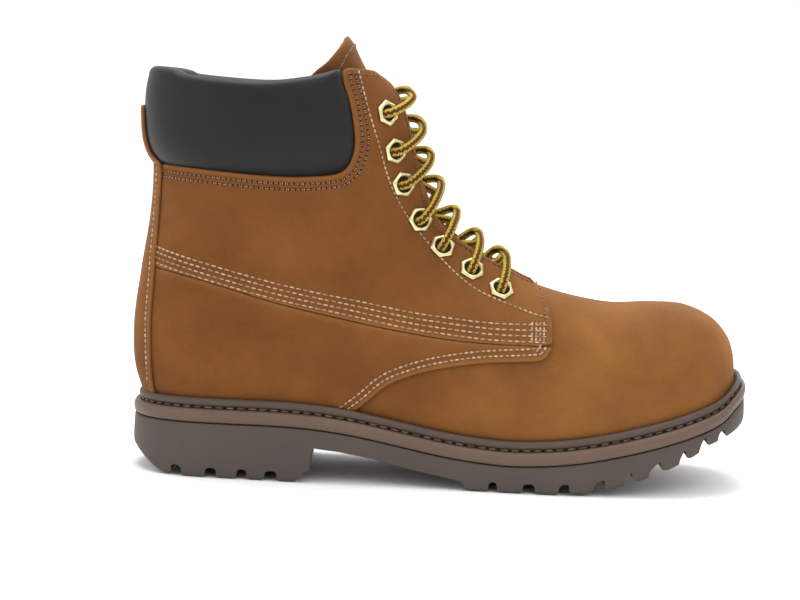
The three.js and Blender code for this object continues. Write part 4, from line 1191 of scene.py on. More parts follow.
class BOOT_OT_tongue(Maker, bpy.types.Operator):
    """Makes the tongue: its leather, and the padding and lining behind it"""

    bl_idname = "boot.tongue"
    bl_label = "Tongue"

    def make(self, looks):
        outline = tongue_outline(0)
        seam = tongue_outline(4.6)[60:-60]
        leather = panel("tongue_face", outline, (-11.2, TONGUE_OUTER), MATERIALS["tongue"], spacing=2.4,
                        creases=[seam], outer_of=lambda p, b: tongue_lean(b),
                        inner_of=lambda p, b: tongue_lean(b) - TONGUE_LEATHER,
                        rounding=looks.edge_rounding / MM)
        own(leather, TONGUE, "nubuck", "tongue_leather")
        back = panel("tongue_pad", tongue_outline(0.8), (-14.8, -11.5), MATERIALS["lining"], spacing=2.8,
                     outer_of=lambda p, b: tongue_lean(b) - TONGUE_LEATHER - 0.3,
                     inner_of=lambda p, b: tongue_lean(b) - TONGUE_PAD, rounding=0.8)
        own(back, TONGUE, "lining", "tongue_padding")


def tongue_lean(base):
    """The tongue's distance from the form, standing further out above the facings."""
    return TONGUE_OUTER + 9 * np.clip((base[:, 2] - 190) / 24, 0, 1)


def tongue_outline(inset):
    """The tongue's edge as a closed row of (along, around), drawn in by inset millimetres."""
    rear = [(x - 9 + inset, z - 4) for x, z in LINING_FRONT[1:8]]
    low = [(24, 84), (38, 74)]
    side = locate(through(rear + [(x - inset, z) for x, z in low], 110))[::-1]
    tip = through([(31.5, 196), (30, 202), (23, 211), (12, 216.4), (0, 217.8)], 50)
    tangent = unit(np.gradient(tip, axis=0))
    tip = tip + np.stack([-tangent[:, 1], tangent[:, 0]], 1) * inset
    along, around = np.full(len(tip), 21.0), np.full(len(tip), 0.15)
    for _ in range(80):
        p = skin(along, around, tongue_lean(form_point(along, around)))
        along = np.clip(along + (tip[:, 1] - p[:, 2]) / 12, 16, LAST)
        around = np.clip(around + (tip[:, 0] - np.abs(p[:, 1])) / 160, 0.0, 0.45)
    root = np.stack([np.full(20, side[0][0]), np.linspace(0.0, side[0][1], 20)], 1)[1:-1]
    half = joined(root, side, np.stack([along, around], 1)[:-1])
    return joined(half, mirrored(half, -1)[::-1])


class BOOT_OT_linings(Maker, bpy.types.Operator):
    """Makes the shaft and vamp linings and the tongue's gussets"""

    bl_idname = "boot.linings"
    bl_label = "Linings"

    def make(self, looks):
        front = side_line(LINING_FRONT, count=90)
        front = front[form_point(*front.T)[:, 2] < 192]
        rim = feather_path(1.5, count=220)
        rim = rim[rim[:, 0] > front[-1][0]]
        around = np.linspace(front[0][1], 1, 80)
        top = np.stack([along_height(around, 184.0), around], 1)
        half = joined(top[::-1], front, rim)
        outline = joined(half, mirrored(half, -1)[::-1][1:-1])
        shaft = panel("lining_shaft", outline, LINING, MATERIALS["lining"], spacing=4.0, rounding=0.6)
        own(shaft, BODY, "lining", "shaft_lining", "shaft_foam")
        rim = feather_path(1.5, count=220)
        rim = rim[rim[:, 0] < front[-1][0] - 0.05]
        low = np.stack([np.full(30, rim[-1][0]), np.linspace(rim[-1][1], 0.12, 30)], 1)
        half = joined(rim, low)
        outline = joined(half, mirrored(half, -1)[::-1])
        vamp = panel("lining_vamp", outline, LINING, MATERIALS["lining"], spacing=4.5, rounding=0.6)
        own(vamp, BODY, "lining", "vamp_lining")
        for name, side in SIDES:
            edge = side_line(LINING_FRONT[1:8], count=60)
            back = locate(through([(x - 14, z - 6) for x, z in LINING_FRONT[1:8]], 60))
            fold = panel(f"gusset_{name}_leather", mirrored(joined(edge, back[::-1]), side), GUSSET,
                         MATERIALS["tongue"], spacing=3.0, rounding=0.4)
            own(fold, BODY, "nubuck", f"gusset_{name}")


# ---- eyelets and lace ----
def eyelet_places():
    """The eyelets' places on the form, set back so that their flanges, which stand off it, lie at EYELETS."""
    normals = np.array([form_normal(along, around) for along, around in locate(EYELETS)])
    return locate(np.array(EYELETS) - normals[:, [0, 2]] * 2.6)


def eyelet_marks():
    """Each eyelet's centre on the form, and its three directions: to the edge, along the row, and out."""
    places = eyelet_places()
    marks = []
    for _, side in SIDES:
        for along, around in places:
            centre, normal = form_point(along, side * around), form_normal(along, side * around)
            towards = form_point(along, side * (around - 0.02)) - centre
            u = unit(towards - normal * (towards @ normal))
            marks.append((centre, u, np.cross(normal, u), normal))
    return marks


class BOOT_OT_eyelets(Maker, bpy.types.Operator):
    """Makes the six-sided eyelets, one at each mark down both facings"""

    bl_idname = "boot.eyelets"
    bl_label = "Eyelets"

    # radius, height above the leather's outer face, and how six-sided the ring is
    PROFILE = [(4.3, -0.1, 1.0), (5.75, -0.05, 1.0), (5.85, 0.35, 1.0), (5.5, 0.8, 0.9), (4.9, 1.15, 0.55),
               (4.6, 1.3, 0.2), (4.3, 1.2, 0.0), (4.0, 0.85, 0.0), (3.85, 0.3, 0.0), (3.75, -1.5, 0.0),
               (3.2, -5.6, 0.0), (3.6, -5.6, 0.0), (3.95, -1.5, 0.0), (4.1, -0.3, 0.0)]
    CORNERS = 36

    def make(self, looks):
        turn = np.arange(self.CORNERS) * 2 * np.pi / self.CORNERS
        six = np.cos(np.pi / 6) / np.cos((turn + np.pi / 6) % (np.pi / 3) - np.pi / 6)
        rings = []
        for radius, height, share in self.PROFILE:
            reach = radius * (1 + share * (six / np.cos(np.pi / 6) * 0.985 - 1))
            level = np.full(self.CORNERS, height)
            rings.append(np.stack([reach * np.cos(turn), reach * np.sin(turn), level], 1))
        rings = np.array(rings)
        piece = grid_shell("eyelet_pattern", rings - OFFSET, MATERIALS["brass"], closed_rows=True)
        marks = eyelet_marks()
        face = QUARTER[1] + 0.25
        values = {"Piece": piece, "Material": MATERIALS["brass"]}
        obj = grow("eyelets", mesh_of(marks, face), mark_tree(), values)
        bpy.data.objects.remove(piece)
        # Painted shade: a dark cap inside each eyelet's ring, standing for the shade in its hole, over
        # leather that is not pierced.
        rings = np.array([[(r * c, r * d, z) for c, d in zip(np.cos(turn), np.sin(turn))]
                          for r, z in ((3.9, -0.9), (3.9, 0.2), (0.4, 0.15))])
        piece = grid_shell("hole_pattern", rings - OFFSET, MATERIALS["hole"])
        values = {"Piece": piece, "Material": MATERIALS["hole"]}
        holes = grow("eyelet_holes", mesh_of(marks, face), mark_tree(), values)
        bpy.data.objects.remove(piece)
        own(holes, BODY, "nubuck")
        numbers = range(1, len(EYELETS) + 1)
        own(obj, BODY, "eyelet", *[f"eyelet_{name}_{k}" for name, _ in SIDES for k in numbers])


def mesh_of(marks, distance):
    """One point at each mark, lifted along its normal, that carries the mark's turn."""
    mesh = bpy.data.meshes.new("marks")
    mesh.from_pydata([tuple((c + n * distance + OFFSET) * MM) for c, _, _, n in marks], [], [])
    turns = mesh.attributes.new("turn", "FLOAT_VECTOR", "POINT")
    for k, (_, u, v, n) in enumerate(marks):
        turns.data[k].vector = Matrix((u, v, n)).transposed().to_euler()
    return mesh


def lace_route():
    """The lace's points, from one tucked tail to the other."""
    places = eyelet_places()
    last = len(places) - 1

    def at(along, y, side, distance):
        """A point y millimetres from the middle, on one side."""
        return skin(along, side * around_at(along, y), distance)

    def between(k, t):
        """The loop a share t of the way from one eyelet to the next."""
        first = places[k][0]
        return first + (places[k + 1][0] - first) * t if k < last else first + 1.1 * t

    def crossing(k, side, top):
        """Out of one eyelet, over the opening's edge, across, and under the other edge."""
        along, around = places[k]
        edge_lift, share, y, to, height = (1.4, 0.66, 5, -side, 3.6) if top else (0.6, 0.36, 5.5, side, -0.8)
        return [
            skin(along, side * around, OVER_RUN + 0.5),
            at(between(k, 0.25), OPENING_HALF, side, OVER_RUN + edge_lift),
            at(between(k, share), y, to, height),
            at(between(k, 0.84), OPENING_HALF - 1.6, -side, UNDER_RUN),
        ]

    def half(first):
        """The lace from the lowest eyelet on one side up to its tail, tucked behind the top eyelets."""
        route, side = [], first
        for k in range(last + 1):
            if k > 0:
                route.append(skin(places[k][0], side * places[k][1], UNDER_RUN))
            route += crossing(k, side, side == 1)
            side = -side
        route.append(at(between(last, 0.75), 19, side, UNDER_RUN))
        for k, t in ((last, 0.45), (last, 0), (last - 1, 0.4), (last - 1, -0.1)):
            along = between(k, t)
            share = min(1, max(0, t))
            around = places[k][1] + (places[min(k + 1, last)][1] - places[k][1]) * share
            behind = skin(along, side * around, 0.0)
            behind_along, behind_around = locate([(behind[0] - 9, behind[2] - 1)])[0]
            route.append(skin(behind_along, side * behind_around, UNDER_RUN))
        return route

    along, around = places[0]
    start = [skin(along, part * around, UNDER_RUN) for part in (1, 0.5, 0, -0.5, -1)]
    return np.array(half(1)[::-1] + start + half(-1))


def centripetal(points, per):
    """A centripetal Catmull-Rom line through the points, with per steps between two of them."""
    ends = np.vstack([2 * points[0] - points[1], points, 2 * points[-1] - points[-2]])
    out = []
    for i in range(len(points) - 1):
        p = ends[i : i + 4]
        knots = np.concatenate([[0], np.cumsum(np.linalg.norm(np.diff(p, axis=0), axis=1) ** 0.5)])
        t = np.linspace(knots[1], knots[2], per, endpoint=False)[:, None]

        def blend(a, b, ka, kb):
            return a * (kb - t) / (kb - ka) + b * (t - ka) / (kb - ka)

        a1 = blend(p[0], p[1], knots[0], knots[1])
        a2 = blend(p[1], p[2], knots[1], knots[2])
        a3 = blend(p[2], p[3], knots[2], knots[3])
        b1, b2 = blend(a1, a2, knots[0], knots[2]), blend(a2, a3, knots[1], knots[3])
        out.append(blend(b1, b2, knots[1], knots[2]))
    return np.vstack([*out, points[-1:]])


def smoothed(values, reach):
    """Each column run through a bell-shaped average reach steps wide."""
    width = int(3 * reach)
    bell = np.exp(-0.5 * (np.arange(-width, width + 1) / reach) ** 2)
    bell /= bell.sum()
    padded = np.pad(values, ((width, width), (0, 0)), mode="edge")
    return np.stack([np.convolve(padded[:, k], bell, mode="valid") for k in range(values.shape[1])], 1)


class BOOT_OT_lace(Maker, bpy.types.Operator):
    """Makes the lace on its route through the eyelets, and its two tips"""

    bl_idname = "boot.lace"
    bl_label = "Lace"

    AROUND = 20  # points round the lace
    STEP = 0.55  # millimetres between two of its rings
    FACING = np.array([0.0, -1.0, 0.0])  # the way that a dark band faces

    def make(self, looks):
        fine = centripetal(lace_route(), 16)
        count = int(length_of(fine) / self.STEP)
        line = smoothed(even(fine, count), 2.0)
        tangent = unit(np.gradient(line, axis=0))
        sides = unit(self.FACING - tangent * (tangent @ self.FACING)[:, None])
        weight = np.linalg.norm(np.cross(self.FACING, tangent), axis=1) ** 3
        frame_u = np.zeros_like(line)
        frame_u[0] = sides[0]
        for k in range(1, count):
            carried = frame_u[k - 1] - tangent[k] * (frame_u[k - 1] @ tangent[k])
            frame_u[k] = unit(carried)
        frame_v = np.cross(tangent, frame_u)
        cos, sin = (sides * frame_u).sum(1) * weight, (sides * frame_v).sum(1) * weight
        turn = smoothed(np.stack([cos, sin], 1), 6)
        turn = np.arctan2(turn[:, 1], turn[:, 0])
        angle = np.linspace(0, 2 * np.pi, self.AROUND, endpoint=False)
        run = np.concatenate([[0], np.cumsum(np.linalg.norm(np.diff(line, axis=0), axis=1))])
        theta = turn[:, None] + angle[None, :]
        fold = np.abs((angle[None, :] + np.pi / 4) % np.pi - np.pi / 2)
        relief = 0.05 * np.cos(2 * np.pi * run[:, None] / 1.05 + 2 * fold)
        radius = LACE_RADIUS * (1 - 0.03 + relief)
        ring = frame_u[:, None] * np.cos(theta)[..., None] + frame_v[:, None] * np.sin(theta)[..., None]
        grid = line[:, None] + ring * radius[..., None]
        obj = grid_shell("lace_cord", grid, MATERIALS["lace"])
        self.map(obj, run, count)
        own(obj, BODY, "lace", "lace")
        for name, end, before in (("lateral", line[0], line[4]), ("medial", line[-1], line[-5])):
            self.tip(name, end, unit(end - before))

    def map(self, obj, run, count):
        """Lays the lace's own map: millimetres along it, and one turn round it."""
        layer = obj.data.uv_layers.new(name="run")
        for face in obj.data.polygons:
            rows = [v // self.AROUND for v in face.vertices]
            spots = [v % self.AROUND for v in face.vertices]
            wraps = len(spots) == 4 and max(spots) - min(spots) > self.AROUND / 2
            for corner, r, s in zip(face.loop_indices, rows, spots):
                turn = 1.0 if wraps and s == 0 else s / self.AROUND
                layer.data[corner].uv = (run[min(r, count - 1)], turn)

    def tip(self, name, end, direction):
        """The stiff tip at one end of the lace."""
        side = unit(np.cross(direction, [0, 0, 1.0]))
        other = np.cross(direction, side)
        angle = np.linspace(0, 2 * np.pi, 16, endpoint=False)
        ring = side * np.cos(angle)[:, None] + other * np.sin(angle)[:, None]
        profile = [(0.3, 1.2), (0.3, 1.75), (0.9, 1.8), (6, 1.7), (11.4, 1.65), (12.1, 1.3), (12.3, 0.6)]
        grid = np.array([end + direction * far + ring * radius for far, radius in profile])
        obj = grid_shell(f"lace_tip_{name}", grid, MATERIALS["aglet"])
        own(obj, BODY, "aglet", f"aglet_{name}")


# ---- stitching ----
def raised(places, distance, side=1):
    """Places on one side as points at a distance from the form."""
    places = mirrored(places, side)
    return skin(places[:, 0], places[:, 1], np.full(len(places), distance))


class BOOT_OT_stitching(Maker, bpy.types.Operator):
    """Sews every visible seam: thread between needle holes along each stitch line"""

    bl_idname = "boot.stitching"
    bl_label = "Stitching"

    def make(self, looks):
        tree = row_tree()
        pitch, radius = looks.stitch_pitch / MM, looks.thread_radius / MM
        face = QUARTER[1] - 0.05
        cream, collar, seam, brown = [], [], [], []
        for _, side in SIDES:
            for d in (3.3, 6.0):
                line = locate(offset_line(COLLAR_EDGE[::-1], -d, 200)[4:-9])
                collar.append(raised(line[line[:, 1] < 0.975], face, side))
            cream.append(raised(side_line(EYESTAY, count=200)[3:], face, side))
            for d in (0, 2.5, 5.0, 7.5):
                row = locate(offset_line(SEAM_ROW, d, 200))
                seam.append(raised(row[row[:, 1] < 0.98], face + 0.4, side))
            for d in (2.6, 5.2):
                cream.append(raised(locate(offset_line(QUARTER_FOOT, -d, 200)[4:-2]), face, side))
            front = [(47.7, 94.2), (48.6, 92.2), (49.3, 89.6), (49.7, 82)]
            brown.append(raised(side_line(front, count=40), face, side))
            for x in (43.5, 45.5, 47.5, 49.3):
                cream.append(raised(side_line([(x, 72.6), (x, 79.4)], count=8), face + 0.5, side))
            throat = opening_edge(2.0, top=19.2, count=200)
            top = side_line([(-37.5, 197.2), (-45, 197.8), (-50.5, 198.2)], count=20)
            brown.append(raised(joined(throat, top), face, side))
            line = backstay_line()
            base = form_point(*mirrored(line, side).T)
            lift = np.maximum(QUARTER[1], collar_face(base)) + 0.3 + BACKSTAY - 0.12
            cream.append(skin(*mirrored(line, side).T, lift))
        bar = np.array([spot_behind(y, 152.5) for y in np.linspace(0.2, 15, 30)])
        base = form_point(*bar.T)
        lift = np.maximum(QUARTER[1], collar_face(base)) + 0.3 + BACKSTAY - 0.1
        half = skin(bar[:, 0], bar[:, 1], lift)
        cream.append(np.vstack([half[::-1], half[1:] * np.array([1, -1, 1])]))
        for name, lines, step, thick, hole, thread in (
            ("edge", cream, pitch, radius, 1.0, "thread"),
            ("collar", collar, pitch * 0.93, radius * 0.95, 1.25, "thread"),
            ("seam", seam, pitch * 1.2, radius * 0.88, 0.8, "thread"),
            ("throat", brown, pitch, radius, 1.0, "brown_thread"),
        ):
            sew(f"stitches_{name}", lines, step, thick, BODY, MATERIALS[thread], tree)
            pierce(f"needle_holes_{name}", lines, step, thick * hole, BODY, tree)
        edge = tongue_outline(4.6)[60:-60]
        base = form_point(*edge.T)
        line = [skin(edge[:, 0], edge[:, 1], tongue_lean(base) - 0.1)]
        sew("tongue_stitches", line, pitch, radius, TONGUE, MATERIALS["thread"], tree)
        pierce("tongue_needle_holes", line, pitch, radius * 1.12, TONGUE, tree)


# ---- the sole ----
def plan_outline(count):
    """The upper's outline at the feather line, seen from above: toe, lateral side, heel, medial side."""
    lateral, medial = feather_path(0.0, count=500), feather_path(0.0, side=-1, count=500)
    ring = joined(lateral, medial[::-1][1:-1])
    points = form_point(*ring.T)[:, :2]
    points = even(points, count, closed=True)
    for _ in range(6):
        points = (np.roll(points, 1, 0) + 2 * points + np.roll(points, -1, 0)) / 4
    return points


def quarter_step(x):
    """How much further the sole stands out where the upper is thicker."""
    return (QUARTER[1] + 0.3) * np.clip((-16 - x) / 36, 0, 1)


def sole_ring(plan, beyond, height, step=True):
    """The outline moved out by beyond, and by the upper's step unless it is left out, with height(x) or a
    lift from the feather line."""
    tangent = unit(np.roll(plan, -1, 0) - np.roll(plan, 1, 0))
    outwards = np.stack([tangent[:, 1], -tangent[:, 0]], 1)
    if signed_area(plan) < 0:
        outwards = -outwards
    moved = plan + outwards * (beyond + (quarter_step(plan[:, :1]) if step else 0))
    z = height(moved[:, 0]) if callable(height) else feather_z(moved[:, 0]) + height
    return np.column_stack([moved, z])


def tread_line():
    """The treads' undersides in the side view: rounded lugs with arched notches between them."""
    heel = [(back + 0.5, front - 0.5, z) for back, front, z in HEEL_TREADS[1:-1]]
    sole = [(back + 0.3, front - 0.3, z) for back, front, z in SOLE_TREADS]
    line = [(-175, 22), (-152, 12), (-148.5, 9.4), (-142, 4.2), (-137.5, 1.5), (-136, 0.9)]
    last = (-136, HEEL_TREADS[0][1] - 0.3, 0.8)
    line += [*corner(last[1], last[2], 1)]
    for back, front, z in [*heel, (HEEL_TREADS[-1][0] + 0.5, -69, 0)]:
        line += notch(last, (back, front, z))
        line += [*corner(back, z, -1), *corner(front, z, 1)]
        last = (back, front, z)
    line += [(-66.6, 3.6), (-65.4, 5.2), (-63.4, 5.7), (-62.3, 7.2), (-61.9, 15.6), (-60.6, 17.2)]
    line += ARCH[1:]
    line += [(9.4, 5.0), (11.6, 4.3)]
    for k, (back, front, z) in enumerate(sole):
        if k:
            line += notch(last, (back, front, z))
        line += [*corner(back, z, -1), *corner(front, z, 1)]
        last = (back, front, z)
    line += notch(last, (140.4, 0, 28))
    line += [(140.6, 29.2), (141.8, 28.2), (149.6, 30.4), (152.4, 32.4), (165, 40)]
    return np.array(line, float)


def corner(x, z, way, radius=1.7):
    """A lug's rounded bottom corner, at its back (way -1) or its front (way 1)."""
    turns = np.linspace(0, math.pi / 2, 5)
    points = [(x - way * radius * (1 - math.sin(a)), z + radius * (1 - math.cos(a))) for a in turns]
    return points if way > 0 else points[::-1]


def notch(behind, ahead, deep=5.0):
    """The arched top of the notch from one lug's front to the next one's back."""
    low, high = behind[1] + 0.15, ahead[0] - 0.15
    turns = np.linspace(math.pi, 0, 7)
    rise, crown = ahead[2] - behind[2], 1.6
    points = []
    for a in turns:
        share = (1 + math.cos(a)) / 2
        height = behind[2] + rise * share + deep - crown + crown * math.sin(a)
        points.append((low + (high - low) * share, height))
    return points


def under_line(x):
    """The envelope that the treads' undersides touch."""
    at = [-175, -150, -142, -136, -128, 60, 70, 85, 98, 112, 123.5, 133.5, 145, 160]
    z = [20, 10, 4.2, 1.0, 0, 0, 1, 4, 8, 13.4, 19.2, 25.2, 29.4, 36]
    return np.interp(x, at, z)


def block(name, rings, material, top, bottom):
    """A closed block: walls from the first ring to the last, and caps whose height follows x."""
    count = rings.shape[1]
    verts = [rings.reshape(-1, 3)]
    index = np.arange(rings.shape[0] * count).reshape(rings.shape[:2])
    faces = []
    across = np.roll(index, -1, 1)
    for r in range(len(rings) - 1):
        faces += zip(index[r], across[r], across[r + 1], index[r + 1])
    total = index.size
    for ring, row, height in ((rings[0], index[0], top), (rings[-1], index[-1], bottom)):
        low, high = ring[:, :2].min(0), ring[:, :2].max(0)
        xs, ys = np.meshgrid(np.arange(low[0], high[0], 5.0), np.arange(low[1], high[1], 6.0))
        free = np.column_stack([xs.ravel(), ys.ravel()])
        free = free[winding(ring[:, :2], free)]
        gap = nearest(np.column_stack([free, 0 * free[:, 0]]), np.column_stack([ring[:, :2], 0 * ring[:, 0]]))
        flat = np.vstack([ring[:, :2], free[gap > 2.0]])
        inner, triangles, origins = fill(flat, count)
        names = [row[o[0]] if o and o[0] < count else None for o in origins]
        fresh = {}
        for k, name_of in enumerate(names):
            if name_of is None:
                names[k] = fresh.setdefault(k, total + len(fresh))
        verts.append(np.column_stack([inner[list(fresh)], height(inner[list(fresh)][:, 0])]))
        total += len(fresh)
        faces += [tuple(int(names[v]) for v in f) for f in triangles]
    return outward(sharpen(finish_mesh(name, np.vstack(verts), faces, material)))


class BOOT_OT_sole(Maker, bpy.types.Operator):
    """Makes the lugged outsole, the midsole, the welt and the thread in its groove"""

    bl_idname = "boot.sole"
    bl_label = "Sole"

    def make(self, looks):
        plan = plan_outline(looks.sole_points)
        self.welt(plan)
        self.midsole(plan)
        self.outsole(plan)

    def welt(self, plan):
        """The welt's bead, and the thread in the groove under it."""
        profile = through([(-3, -4.2), (1.5, -4.2), (1.7, -3.7), (2.9, -3.35), (3.6, -2.7), (3.85, -1.6),
                           (3.5, -0.4), (2.7, 0.35), (1.7, 0.6), (0.7, 0.3), (-1, -0.2), (-3, -0.6)], 30)
        rings = np.array([sole_ring(plan, m, z) for m, z in profile])
        obj = grid_shell("welt_bead", rings, MATERIALS["welt"], closed_rows=True)
        own(obj, BODY, "welt", "welt")
        groove = sole_ring(plan, 2.6, -3.95)
        values = {"Pitch": 5.4 * MM, "Shift": 2.7 * MM, "Size": (0.55 * MM, 0.5 * MM, 2.15 * MM),
                  "Material": MATERIALS["welt_thread"]}
        line = line_mesh("welt_stitches", [np.vstack([groove, groove[:1]])])
        thread = grow("welt_stitches", line, row_tree(), values)
        own(thread, BODY, "thread", "welt_thread")

    def midsole(self, plan):
        """The smooth layer under the welt."""
        profile = through([(1.0, MIDSOLE_TOP), (3.4, MIDSOLE_TOP), (4.8, -4.8), (5.7, -5.6), (6.2, -7.0),
                           (6.25, -8.6), (5.9, -10.2), (5.3, -11.0), (3.6, MIDSOLE_BASE),
                           (1.0, MIDSOLE_BASE)], 34)
        rings = np.array([sole_ring(plan, m, z) for m, z in profile])
        obj = block("midsole_block", rings, MATERIALS["midsole"], lambda x: feather_z(x) + MIDSOLE_TOP,
                    lambda x: feather_z(x) + MIDSOLE_BASE)
        own(obj, BODY, "midsole", "midsole")

    def outsole(self, plan):
        """The lugged layer: a block whose treads are cut out of it."""
        top = sole_ring(plan, 1.0, OUTSOLE_TOP)
        rings = [top]
        for beyond, drop in ((4.6, 0.0), (5.4, -0.35), (5.75, -1.2)):
            rings.append(sole_ring(plan, beyond, OUTSOLE_TOP + drop))
        shoulder = rings[-1]
        for beyond, share in ((6.0, 0.4), (6.1, 0.7)):
            foot = sole_ring(plan, beyond, under_line)
            foot[:, 2] = shoulder[:, 2] + (under_line(foot[:, 0]) + 2 - shoulder[:, 2]) * share
            rings.append(foot)
        for beyond, lift in ((6.1, 2.6), (5.9, 1.2), (5.3, 0.35), (4.4, -0.1), (3.0, -0.4)):
            rings.append(sole_ring(plan, beyond, lambda x, lift=lift: under_line(x) + lift))
        obj = block("outsole_treads", np.array(rings), MATERIALS["outsole"],
                    lambda x: feather_z(x) + OUTSOLE_TOP, lambda x: under_line(x) - 0.4)
        self.cut(obj, [*tread_line(), (165, -40), (-175, -40)], (90, -90))
        for y, slant in ((-15, -1), (13, 3)):
            self.channel(obj, y, slant)
        outward(sharpen(obj, 32))
        own(obj, BODY, "outsole", "outsole")

    def cut(self, obj, outline, reach):
        """Takes a prism, drawn in the side view and reaching across the sole, away from the block."""
        n = len(outline)
        verts = [(x, y, z) for y in reach for x, z in outline]
        faces = [tuple(range(n)), tuple(range(2 * n - 1, n - 1, -1))]
        faces += [(k, k + n, (k + 1) % n + n, (k + 1) % n) for k in range(n)]
        self.subtract(obj, outward(finish_mesh("tread_cut", verts, faces, MATERIALS["outsole"])))

    def channel(self, obj, y, slant):
        """Takes a lengthwise channel out of the treads, as deep as the grooves between them."""
        xs = np.concatenate([np.linspace(-140, -62.5, 30), np.linspace(12, 132, 50)])
        for part in (xs[:30], xs[30:]):
            along = (part - part[0]) / (part[-1] - part[0])
            middle = y + slant * along
            deep = np.maximum(under_line(part), 0) + 4.6
            verts, n = [], len(part)
            for half, z in ((-1.9, -20 + 0 * part), (-1.5, deep), (1.5, deep), (1.9, -20 + 0 * part)):
                verts += list(zip(part, middle + half, z))
            faces = [(k + j * n, k + 1 + j * n, k + 1 + ((j + 1) % 4) * n, k + ((j + 1) % 4) * n)
                     for j in range(4) for k in range(n - 1)]
            faces += [(0, n, 2 * n, 3 * n), (4 * n - 1, 3 * n - 1, 2 * n - 1, n - 1)]
            self.subtract(obj, outward(finish_mesh("channel_cut", verts, faces, MATERIALS["outsole"])))

    def subtract(self, obj, cutter):
        """Takes the cutter away from the block, and removes it."""
        modifier = obj.modifiers.new("cut", "BOOLEAN")
        modifier.operation, modifier.object, modifier.solver = "DIFFERENCE", cutter, "MANIFOLD"
        bpy.context.view_layer.update()
        made = bpy.data.meshes.new_from_object(obj.evaluated_get(bpy.context.evaluated_depsgraph_get()))
        obj.modifiers.clear()
        if len(made.polygons) < 100:
            raise RuntimeError("the treads could not be cut")
        obj.data = made
        made.name = obj.name
        bpy.data.objects.remove(cutter)


class BOOT_OT_insides(Maker, bpy.types.Operator):
    """Makes the footbed and gives the hidden frame parts their materials"""

    bl_idname = "boot.insides"
    bl_label = "Insides"

    PAINT = {"steel_toe_cap": "steel", "steel_shank": "steel", "toe_cap_edge_strip": "strip",
             "heel_counter": "board", "insole_board": "board", "bottom_filler": "board"}

    def make(self, looks):
        plan = plan_outline(220)
        profile = [(-6.9, 0.35), (-6.3, 0.9), (-6.1, 2.6), (-6.3, 4.2), (-7.2, 4.6), (-9.5, 4.4)]
        rings = [sole_ring(plan, beyond, lift, False) for beyond, lift in profile]
        obj = block("footbed_insert", np.array(rings[::-1]), MATERIALS["footbed"],
                    lambda x: feather_z(x) + profile[-1][1], lambda x: feather_z(x) + profile[0][1])
        own(obj, BODY, "footbed", "footbed")
        for name, paint in self.PAINT.items():
            cad = frame["nodes"][name]
            cad.data.materials.clear()
            cad.data.materials.append(MATERIALS[paint])


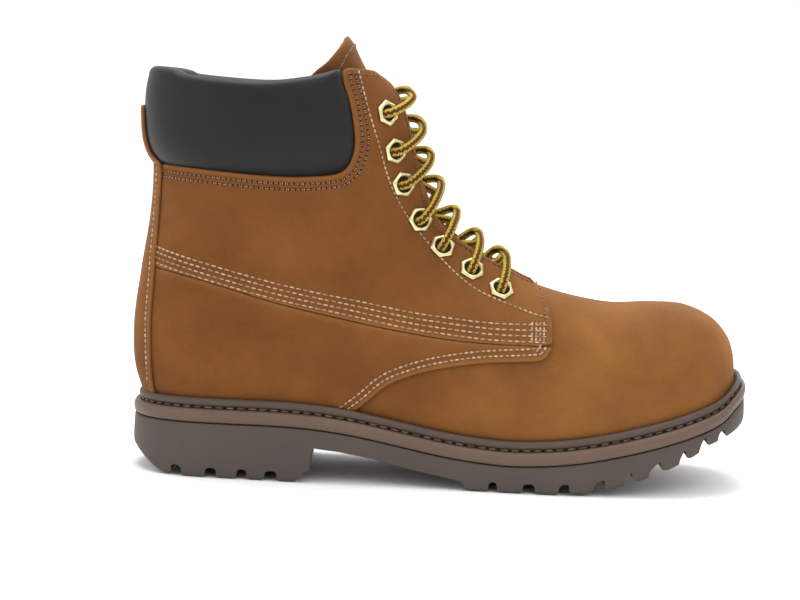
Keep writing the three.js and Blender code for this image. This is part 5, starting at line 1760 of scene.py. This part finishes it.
class BOOT_OT_stage(bpy.types.Operator):
    """Makes the floor and backdrop, the lights and the camera"""

    bl_idname = "boot.stage"
    bl_label = "Stage"
    bl_options = {"REGISTER", "UNDO"}

    def execute(self, context):
        looks = context.scene.boot_stage
        low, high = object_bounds()
        centre = (low + high) / 2
        self.floor(looks)
        self.world(context.scene)
        self.light("key", centre + Vector((0.5, -1.2, 1.3)), centre, 1.2, 6)
        self.light("fill", centre + Vector((-1.3, -0.8, 0.6)), centre, 1.4, 3)
        self.light("top", centre + Vector((-0.1, 0.3, 1.6)), centre, 1.3, 20)
        self.light("back", centre + Vector((0.4, 1.3, 0.7)), centre, 1.2, 4)
        self.camera(context.scene, looks)
        context.scene.view_settings.view_transform = "Standard"
        return {"FINISHED"}

    def floor(self, looks):
        """A floor that turns up into a backdrop in one sweep."""
        profile = [(-6.0, 0.0), (2.0, 0.0)]
        turns = np.linspace(0, math.pi / 2, 12)[1:]
        profile += [(2.0 + 1.5 * math.sin(a), 1.5 - 1.5 * math.cos(a)) for a in turns]
        profile += [(3.5, 6.0)]
        verts = [(x, y, z - 0.0002) for x in (-7.0, 7.0) for y, z in profile]
        n = len(profile)
        mesh = bpy.data.meshes.new("floor")
        mesh.from_pydata(verts, [], [(k, k + n, k + n + 1, k + 1) for k in range(n - 1)])
        mesh.polygons.foreach_set("use_smooth", [True] * len(mesh.polygons))
        paint = blank("Painted studio floor, pale", Roughness=0.9, Base_Color=looks.floor_colour)[0]
        mesh.materials.append(paint)
        obj = bpy.data.objects.new("floor", mesh)
        bpy.context.scene.collection.objects.link(obj)
        obj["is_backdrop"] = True

    def world(self, scene):
        """An even white sky."""
        world = bpy.data.worlds.new("Studio")
        world.use_nodes = True
        sky = world.node_tree.nodes["Background"]
        sky.inputs["Color"].default_value = linear("#ffffff")
        sky.inputs["Strength"].default_value = 1.06
        scene.world = world

    def light(self, name, place, target, size, power):
        """A round soft light that faces the boot."""
        data = bpy.data.lights.new(name, "AREA")
        data.shape, data.size, data.energy = "DISK", size, power
        obj = bpy.data.objects.new(name, data)
        obj.location = place
        obj.rotation_euler = (target - place).to_track_quat("-Z", "Y").to_euler()
        bpy.context.scene.collection.objects.link(obj)

    def camera(self, scene, looks):
        """The camera: level with the lateral side, a little above it and turned a little."""
        pitch, roll = math.radians(6.2), math.radians(2.0)
        ahead = Vector((0, math.cos(pitch), -math.sin(pitch)))
        up = Vector((0, math.sin(pitch), math.cos(pitch)))
        right = Vector((1, 0, 0))
        right, up = right * math.cos(roll) + up * math.sin(roll), up * math.cos(roll) - right * math.sin(roll)
        data = bpy.data.cameras.new("camera")
        data.lens = looks.lens
        data.clip_start, data.clip_end = 0.05, 50
        obj = bpy.data.objects.new("camera", data)
        place = Matrix((right, up, -ahead)).transposed().to_4x4()
        place.translation = Vector((-0.021, -looks.camera_distance, 0.2004)) + Vector(OFFSET * MM)
        obj.matrix_world = place
        scene.collection.objects.link(obj)
        scene.camera = obj


class BOOT_PT_panel(bpy.types.Panel):
    """Lists the boot's sizes, its colours and its operators"""

    bl_label = "Work boot"
    bl_idname = "BOOT_PT_panel"
    bl_space_type = "VIEW_3D"
    bl_region_type = "UI"
    bl_category = "Work boot"

    def draw(self, context):
        for group in (context.scene.boot_looks, context.scene.boot_colours, context.scene.boot_stage):
            for name in group.__annotations__:
                self.layout.prop(group, name)
        for maker in MAKERS:
            self.layout.operator(maker.bl_idname)


MAKERS = (BOOT_OT_upper, BOOT_OT_backstay, BOOT_OT_collar, BOOT_OT_tongue, BOOT_OT_linings, BOOT_OT_eyelets,
          BOOT_OT_lace, BOOT_OT_stitching, BOOT_OT_sole, BOOT_OT_insides, BOOT_OT_stage)
CLASSES = (BootLooks, BootColours, StageLooks, *MAKERS, BOOT_PT_panel)


def register():
    """Registers the add-on's classes and its settings."""
    for made in CLASSES:
        bpy.utils.register_class(made)
    bpy.types.Scene.boot_looks = PointerProperty(type=BootLooks)
    bpy.types.Scene.boot_colours = PointerProperty(type=BootColours)
    bpy.types.Scene.boot_stage = PointerProperty(type=StageLooks)


def unregister():
    """Removes what register added."""
    del bpy.types.Scene.boot_stage
    del bpy.types.Scene.boot_colours
    del bpy.types.Scene.boot_looks
    for made in reversed(CLASSES):
        bpy.utils.unregister_class(made)


def main():
    """Makes the boot and its stage."""
    register()
    make_materials(bpy.context.scene.boot_colours)
    for maker in MAKERS:
        group, name = maker.bl_idname.split(".")
        getattr(getattr(bpy.ops, group), name)()


if __name__ == "__main__":
    main()
